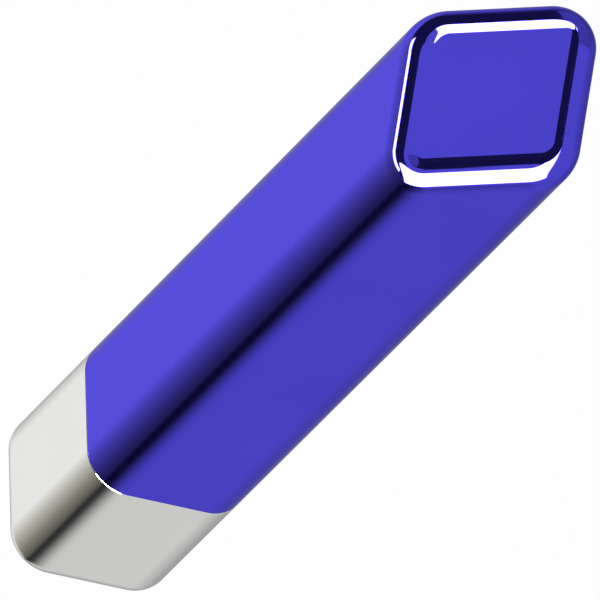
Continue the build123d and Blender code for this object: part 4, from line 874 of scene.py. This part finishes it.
@dataclass
class Nose:
    """The chrome nose: rounded front, nozzle opening, cooling slots and spigot."""

    length: float = 30.8
    front_round: float = 0.004
    front_wall: float = 2.0
    spigot: float = 6.5
    spigot_half: float = 0.0123
    spigot_wall: float = 0.0015
    hole: float = 0.0075
    first_vent: float = 18.0
    vents: int = 4
    screw_depth: float = 4.0
    facets: int = 28

    def outer(self) -> bmesh.types.BMesh:
        """The closed outer form with its spigot."""
        bm = rounded_bar(PEN.x(0.0), PEN.x(self.length), PEN.half, PEN.corner, self.facets)
        rear = [f for f in bm.faces if f.normal.x > 0.9]
        step = PEN.half - self.spigot_half
        bmesh.ops.inset_region(bm, faces=rear, thickness=step, use_even_offset=True)
        made = bmesh.ops.extrude_face_region(bm, geom=rear)
        fresh = [v for v in made["geom"] if isinstance(v, bmesh.types.BMVert)]
        bmesh.ops.delete(bm, geom=rear, context="FACES")
        bmesh.ops.translate(bm, vec=(self.spigot * MM, 0.0, 0.0), verts=fresh)
        front = [e for e in bm.edges if all(abs(v.co.x - PEN.x(0.0)) < 1e-7 for v in e.verts)]
        bmesh.ops.bevel(
            bm, geom=front, offset=self.front_round, segments=14, profile=0.5, affect="EDGES", material=-1
        )
        seam = [e for e in bm.edges if self.on_seam(e)]
        bmesh.ops.bevel(bm, geom=seam, offset=0.25 * MM, segments=3, profile=0.5, affect="EDGES", material=-1)
        bmesh.ops.recalc_face_normals(bm, faces=bm.faces)
        return bm

    def on_seam(self, edge: bmesh.types.BMEdge) -> bool:
        """Whether an edge lies round the nose's rear outer rim."""
        for vert in edge.verts:
            across, rise = abs(vert.co.y), abs(vert.co.z - PEN.axis_z)
            diagonal = math.hypot(across - PEN.half + PEN.corner, rise - PEN.half + PEN.corner)
            outside = max(across, rise) > PEN.half - 1e-6 or diagonal > PEN.corner - 1e-5
            if abs(vert.co.x - PEN.x(self.length)) > 1e-7 or not outside:
                return False
        return True

    def cutters(self) -> list[bmesh.types.BMesh]:
        """The cutters for the hollow, the spigot's bore, the nozzle opening and the slots."""
        wall = PEN.wall
        start, end = PEN.x(self.front_wall), PEN.x(self.length - 1.0)
        hollow = rounded_bar(start, end, PEN.half - wall, PEN.corner - wall, 12)
        front = [e for e in hollow.edges if all(abs(v.co.x - start) < 1e-7 for v in e.verts)]
        radius = self.front_round - wall
        bmesh.ops.bevel(
            hollow, geom=front, offset=radius, segments=6, profile=0.5, affect="EDGES", material=-1
        )
        inner = self.spigot_half - self.spigot_wall
        start, end = PEN.x(self.length - 2.0), PEN.x(self.length + self.spigot + 1.0)
        bore = rounded_bar(start, end, inner, 0.0038, 12)
        mouth = bmesh.new()
        radius = self.hole
        bmesh.ops.create_cone(
            mouth, cap_ends=True, segments=72, radius1=radius, radius2=radius, depth=6.0 * MM
        )
        bmesh.ops.rotate(mouth, matrix=Matrix.Rotation(math.pi / 2, 3, "Y"), verts=mouth.verts)
        bmesh.ops.translate(mouth, vec=(PEN.x(1.0), 0.0, PEN.axis_z), verts=mouth.verts)
        made = [hollow, bore, mouth]
        for side in Side:
            for index in range(self.vents):
                made.append(on_side(vent_cutter(), side, PEN.x(self.first_vent + VENT_PITCH * index), 0.0))
            screw = pill_prism((2.12 + ROUND) * MM, 2.12 * MM, self.screw_depth * MM)
            bmesh.ops.translate(screw, vec=(0.0, 0.0, -self.screw_depth * MM), verts=screw.verts)
            made.append(on_side(screw, side, PEN.x(SCREW_STATION), 0.0))
        return made

    def build(self, rack: FinishRack) -> bpy.types.Object:
        """Builds the nose and finishes it in chrome."""
        nose = to_object("nose", self.outer())
        cut(nose, self.cutters())
        return finished(nose, "housing", rack.of("chrome_plating"), ("nose_shell",))


# ---- stage ------------------------------------------------------------------------------------
@dataclass
class Studio:
    """Pale floor, soft surroundings and the camera."""

    right: Vector = field(default_factory=lambda: Vector((0.4480, -0.8936, 0.0273)))
    up: Vector = field(default_factory=lambda: Vector((0.4487, 0.1983, -0.8714)))
    lens: float = 1500.0
    width: float = 0.09466
    white: float = 0.991

    def camera(self) -> bpy.types.Object:
        """Makes the long-lens camera that looks at the slanted end from above."""
        data = bpy.data.cameras.new("camera")
        data.lens = self.lens
        data.sensor_width = 36.0
        data.clip_start, data.clip_end = 0.05, 20.0
        made = bpy.data.objects.new("camera", data)
        bpy.context.scene.collection.objects.link(made)
        right = self.right.normalized()
        up = (self.up - self.up.dot(right) * right).normalized()
        back = right.cross(up)
        aim = Vector((PEN.x(75.0), 0.0, PEN.axis_z)) + 1.675 * MM * right + 0.459 * MM * up
        away = self.width * self.lens / 36.0
        turn = Matrix((right, up, back)).transposed().to_4x4()
        made.matrix_world = Matrix.Translation(aim + back * away) @ turn
        bpy.context.scene.camera = made
        return made

    def floor(self) -> bpy.types.Object:
        """Makes the plain pale floor under the pen."""
        bm = bmesh.new()
        bmesh.ops.create_grid(bm, x_segments=4, y_segments=4, size=6.0)
        floor = to_object("floor", bm)
        shader = Shader("pale_floor")
        shader.fix(Base_Color=(0.9, 0.9, 0.9, 1.0), Roughness=0.8)
        light = shader.add("ShaderNodeEmission")
        light.inputs["Color"].default_value = (1.0, 1.0, 1.0, 1.0)
        light.inputs["Strength"].default_value = self.white
        pick = shader.add("ShaderNodeMixShader")
        rays = shader.add("ShaderNodeLightPath")
        shader.join(rays.outputs["Is Camera Ray"], pick.inputs[0])
        shader.join(shader.surface.outputs[0], pick.inputs[1])
        shader.join(light.outputs[0], pick.inputs[2])
        shader.join(pick.outputs[0], shader.output.inputs[0])
        floor.data.materials.append(shader.material)
        floor.location.z = -0.0002
        floor.visible_glossy = False
        return floor

    def surroundings(self) -> None:
        """Builds the studio that the plating mirrors, with plain white behind it."""
        Surroundings(self.white).build()

    def lamps(self) -> None:
        """Adds soft area lamps for the parts that aren't plated."""
        rows = (("key", (0.5, -0.6, 0.9), 0.6, 6.0), ("fill", (-0.7, 0.5, 0.6), 0.8, 3.0))
        for name, place, size, power in rows:
            data = bpy.data.lights.new(name, "AREA")
            data.size, data.energy = size, power
            lamp = bpy.data.objects.new(name, data)
            bpy.context.scene.collection.objects.link(lamp)
            lamp.location = place
            lamp.rotation_mode = "QUATERNION"
            lamp.rotation_quaternion = (-Vector(place)).to_track_quat("-Z", "Y")
            lamp.visible_glossy = False
            lamp.visible_camera = False


class Surroundings(NodeTree):
    """The world: bright, mid and dark zones by direction for everything but the camera's own rays."""

    MIRROR = Vector((0.832, 0.502, 0.2346))  # where the panel mirrors the camera's view
    DARK = 0.055
    STRIP = 14.0
    BOX = 16.0

    def __init__(self, white: float) -> None:
        """Starts the world's node tree.

        Args:
            white: the brightness that the camera sees behind the pen.
        """
        self.white = white
        self.world = bpy.data.worlds.new("studio")
        self.world.use_nodes = True
        super().__init__(self.world.node_tree)
        self.direction = self.add("ShaderNodeTexCoord").outputs["Generated"]

    def feed(self, target: bpy.types.NodeSocket, value: object) -> None:
        """Links a socket to an input, or sets the input to a number or vector."""
        if isinstance(value, bpy.types.NodeSocket):
            self.tree.links.new(value, target)
        else:
            target.default_value = value

    def math(self, operation: str, a: object, b: object = 0.0) -> bpy.types.NodeSocket:
        """One arithmetic step."""
        node = self.add("ShaderNodeMath", operation=operation)
        self.feed(node.inputs[0], a)
        self.feed(node.inputs[1], b)
        return node.outputs[0]

    def along(self, axis: Vector) -> bpy.types.NodeSocket:
        """The direction's share along an axis."""
        node = self.add("ShaderNodeVectorMath", operation="DOT_PRODUCT")
        self.feed(node.inputs[0], self.direction)
        self.feed(node.inputs[1], tuple(axis))
        return node.outputs["Value"]

    def angle(self, over: bpy.types.NodeSocket, under: bpy.types.NodeSocket) -> bpy.types.NodeSocket:
        """The angle of a direction in the plane of two axes, as 0..1 for -180..180 degrees."""
        turn = self.math("ARCTAN2", over, under)
        return self.math("ADD", self.math("DIVIDE", turn, 2 * math.pi), 0.5)

    def ramp(self, value: bpy.types.NodeSocket, stops: list[tuple[float, object]]) -> bpy.types.NodeSocket:
        """A colour ramp whose stops are given in degrees.

        Args:
            value: the angle as 0..1.
            stops: (degrees, colour or grey level) in rising order.

        Returns:
            The colour.
        """
        node = self.add("ShaderNodeValToRGB")
        marks = node.color_ramp.elements
        while len(marks) < len(stops):
            marks.new(0.5)
        for mark, (degrees, colour) in zip(marks, stops):
            mark.position = (degrees + 180.0) / 360.0
            mark.color = (*self.whole(colour), 1.0)
        self.feed(node.inputs[0], value)
        return node.outputs[0]

    @staticmethod
    def whole(colour: object) -> Colour:
        """A colour as it is, or a grey level as a colour."""
        return colour if isinstance(colour, tuple) else (colour,) * 3

    def sector(
        self, value: bpy.types.NodeSocket, low: float, high: float, soft: float
    ) -> bpy.types.NodeSocket:
        """1 between two angles in degrees, with soft edges, and 0 outside."""
        return self.window(value, 0.5 + low / 360, 0.5 + high / 360, soft / 360)

    def window(
        self, value: bpy.types.NodeSocket, low: float, high: float, soft: float
    ) -> bpy.types.NodeSocket:
        """1 between two values, with soft edges, and 0 outside."""
        parts = []
        for start, end in ((low - soft, low), (high + soft, high)):
            node = self.add("ShaderNodeMapRange", interpolation_type="SMOOTHSTEP")
            self.feed(node.inputs["Value"], value)
            node.inputs["From Min"].default_value = start
            node.inputs["From Max"].default_value = end
            parts.append(node.outputs["Result"])
        return self.math("MULTIPLY", parts[0], parts[1])

    def over(
        self, below: bpy.types.NodeSocket, colour: object, mask: bpy.types.NodeSocket
    ) -> bpy.types.NodeSocket:
        """Lays a colour, or a grey level, over another colour by a mask."""
        node = self.add("ShaderNodeMix", data_type="RGBA")
        self.feed(node.inputs["Factor"], mask)
        self.feed(node.inputs[6], below)
        if not isinstance(colour, bpy.types.NodeSocket):
            colour = (*self.whole(colour), 1.0)
        self.feed(node.inputs[7], colour)
        return node.outputs[2]

    def build(self) -> None:
        """Joins the zones and makes the world the scene's own."""
        pole = self.MIRROR.normalized()
        lift = (Vector((0, 0, 1)) - pole.z * pole).normalized()
        aside = (Vector((0, 1, 0)) - pole.y * pole).normalized()
        x, y, z = (self.along(Vector(axis)) for axis in ((1, 0, 0), (0, 1, 0), (0, 0, 1)))
        near, rise, swing = self.along(pole), self.along(lift), self.along(aside)
        round_pen = self.angle(z, y)
        behind = self.ramp(round_pen, [
            (-180, 0.42), (-130, 0.34), (-90, (0.62, 0.62, 0.61)), (-50, (0.857, 0.857, 0.845)),
            (-38, (0.76, 0.755, 0.73)), (-27, (0.66, 0.65, 0.61)), (-9, (0.49, 0.48, 0.44)),
            (8, (0.36, 0.35, 0.31)), (25, (0.235, 0.225, 0.19)), (40, (0.155, 0.15, 0.125)),
            (50, (0.10, 0.096, 0.08)), (57, 0.03), (64, 0.03), (71, (0.07, 0.07, 0.068)),
            (79, (0.18, 0.178, 0.175)), (87, (0.31, 0.31, 0.305)), (96, (0.44, 0.44, 0.435)),
            (104, (0.55, 0.55, 0.545)), (122, (0.615, 0.615, 0.61)), (130, (0.615, 0.615, 0.61)),
            (180, 0.42),
        ])
        lifted, swung = self.angle(rise, near), self.angle(swing, near)
        ahead = self.ramp(lifted, [
            (-180, 0.5), (-120, 0.30), (-80, 0.09), (-14, self.DARK), (-8, 0.07), (-5, 0.66),
            (120, 0.64), (180, 0.5),
        ])
        ahead = self.over(ahead, self.DARK, self.sector(swung, 9, 100, 3))
        aside_low = self.math(
            "MULTIPLY", self.sector(swung, -130, -24, 12), self.sector(lifted, -110, -8, 10)
        )
        ahead = self.over(ahead, 0.42, aside_low)
        front = self.math("SUBTRACT", 1.0, self.window(x, -2.0, -0.14, 0.12))
        sky = self.over(behind, ahead, front)
        strip = self.math("MULTIPLY", self.window(x, 0.0, 0.185, 0.02), self.window(y, 0.88, 2.0, 0.03))
        sky = self.over(sky, self.STRIP, strip)
        box = self.math("MULTIPLY", self.sector(lifted, 9, 71, 1.5), self.window(swing, -0.5, 0.5, 0.05))
        sky = self.over(sky, self.BOX, box)
        room = self.add("ShaderNodeBackground")
        self.feed(room.inputs["Color"], sky)
        plain = self.add("ShaderNodeBackground")
        plain.inputs["Color"].default_value = (self.white, self.white, self.white, 1.0)
        pick = self.add("ShaderNodeMixShader")
        self.feed(pick.inputs[0], self.add("ShaderNodeLightPath").outputs["Is Camera Ray"])
        self.feed(pick.inputs[1], room.outputs[0])
        self.feed(pick.inputs[2], plain.outputs[0])
        self.feed(self.add("ShaderNodeOutputWorld").inputs["Surface"], pick.outputs[0])
        bpy.context.scene.world = self.world


@dataclass
class Works:
    """The pieces whose CAD shape is kept, each with its finish."""

    def dress(self, rack: FinishRack) -> None:
        """Gives every shown CAD node the finish of its slot."""
        slots = {row["node"]: row["material_slot"] for row in frame["record"]["subparts"]}
        for name, node in frame["nodes"].items():
            material = rack.of(slots[name])
            for index in range(max(1, len(node.material_slots))):
                if index < len(node.material_slots):
                    node.material_slots[index].material = material
                else:
                    node.data.materials.append(material)
            LOG.info("node %s: %s", name, slots[name])


def main() -> None:
    """Builds the pen's pieces, then the stage."""
    logging.basicConfig(level=logging.INFO)
    rack = FinishRack()
    Works().dress(rack)
    Sleeve().build(rack)
    Nose().build(rack)
    studio = Studio()
    studio.camera()
    studio.floor()
    studio.surroundings()
    studio.lamps()
    bpy.context.scene.view_settings.view_transform = "Standard"


if __name__ == "__main__":
    main()
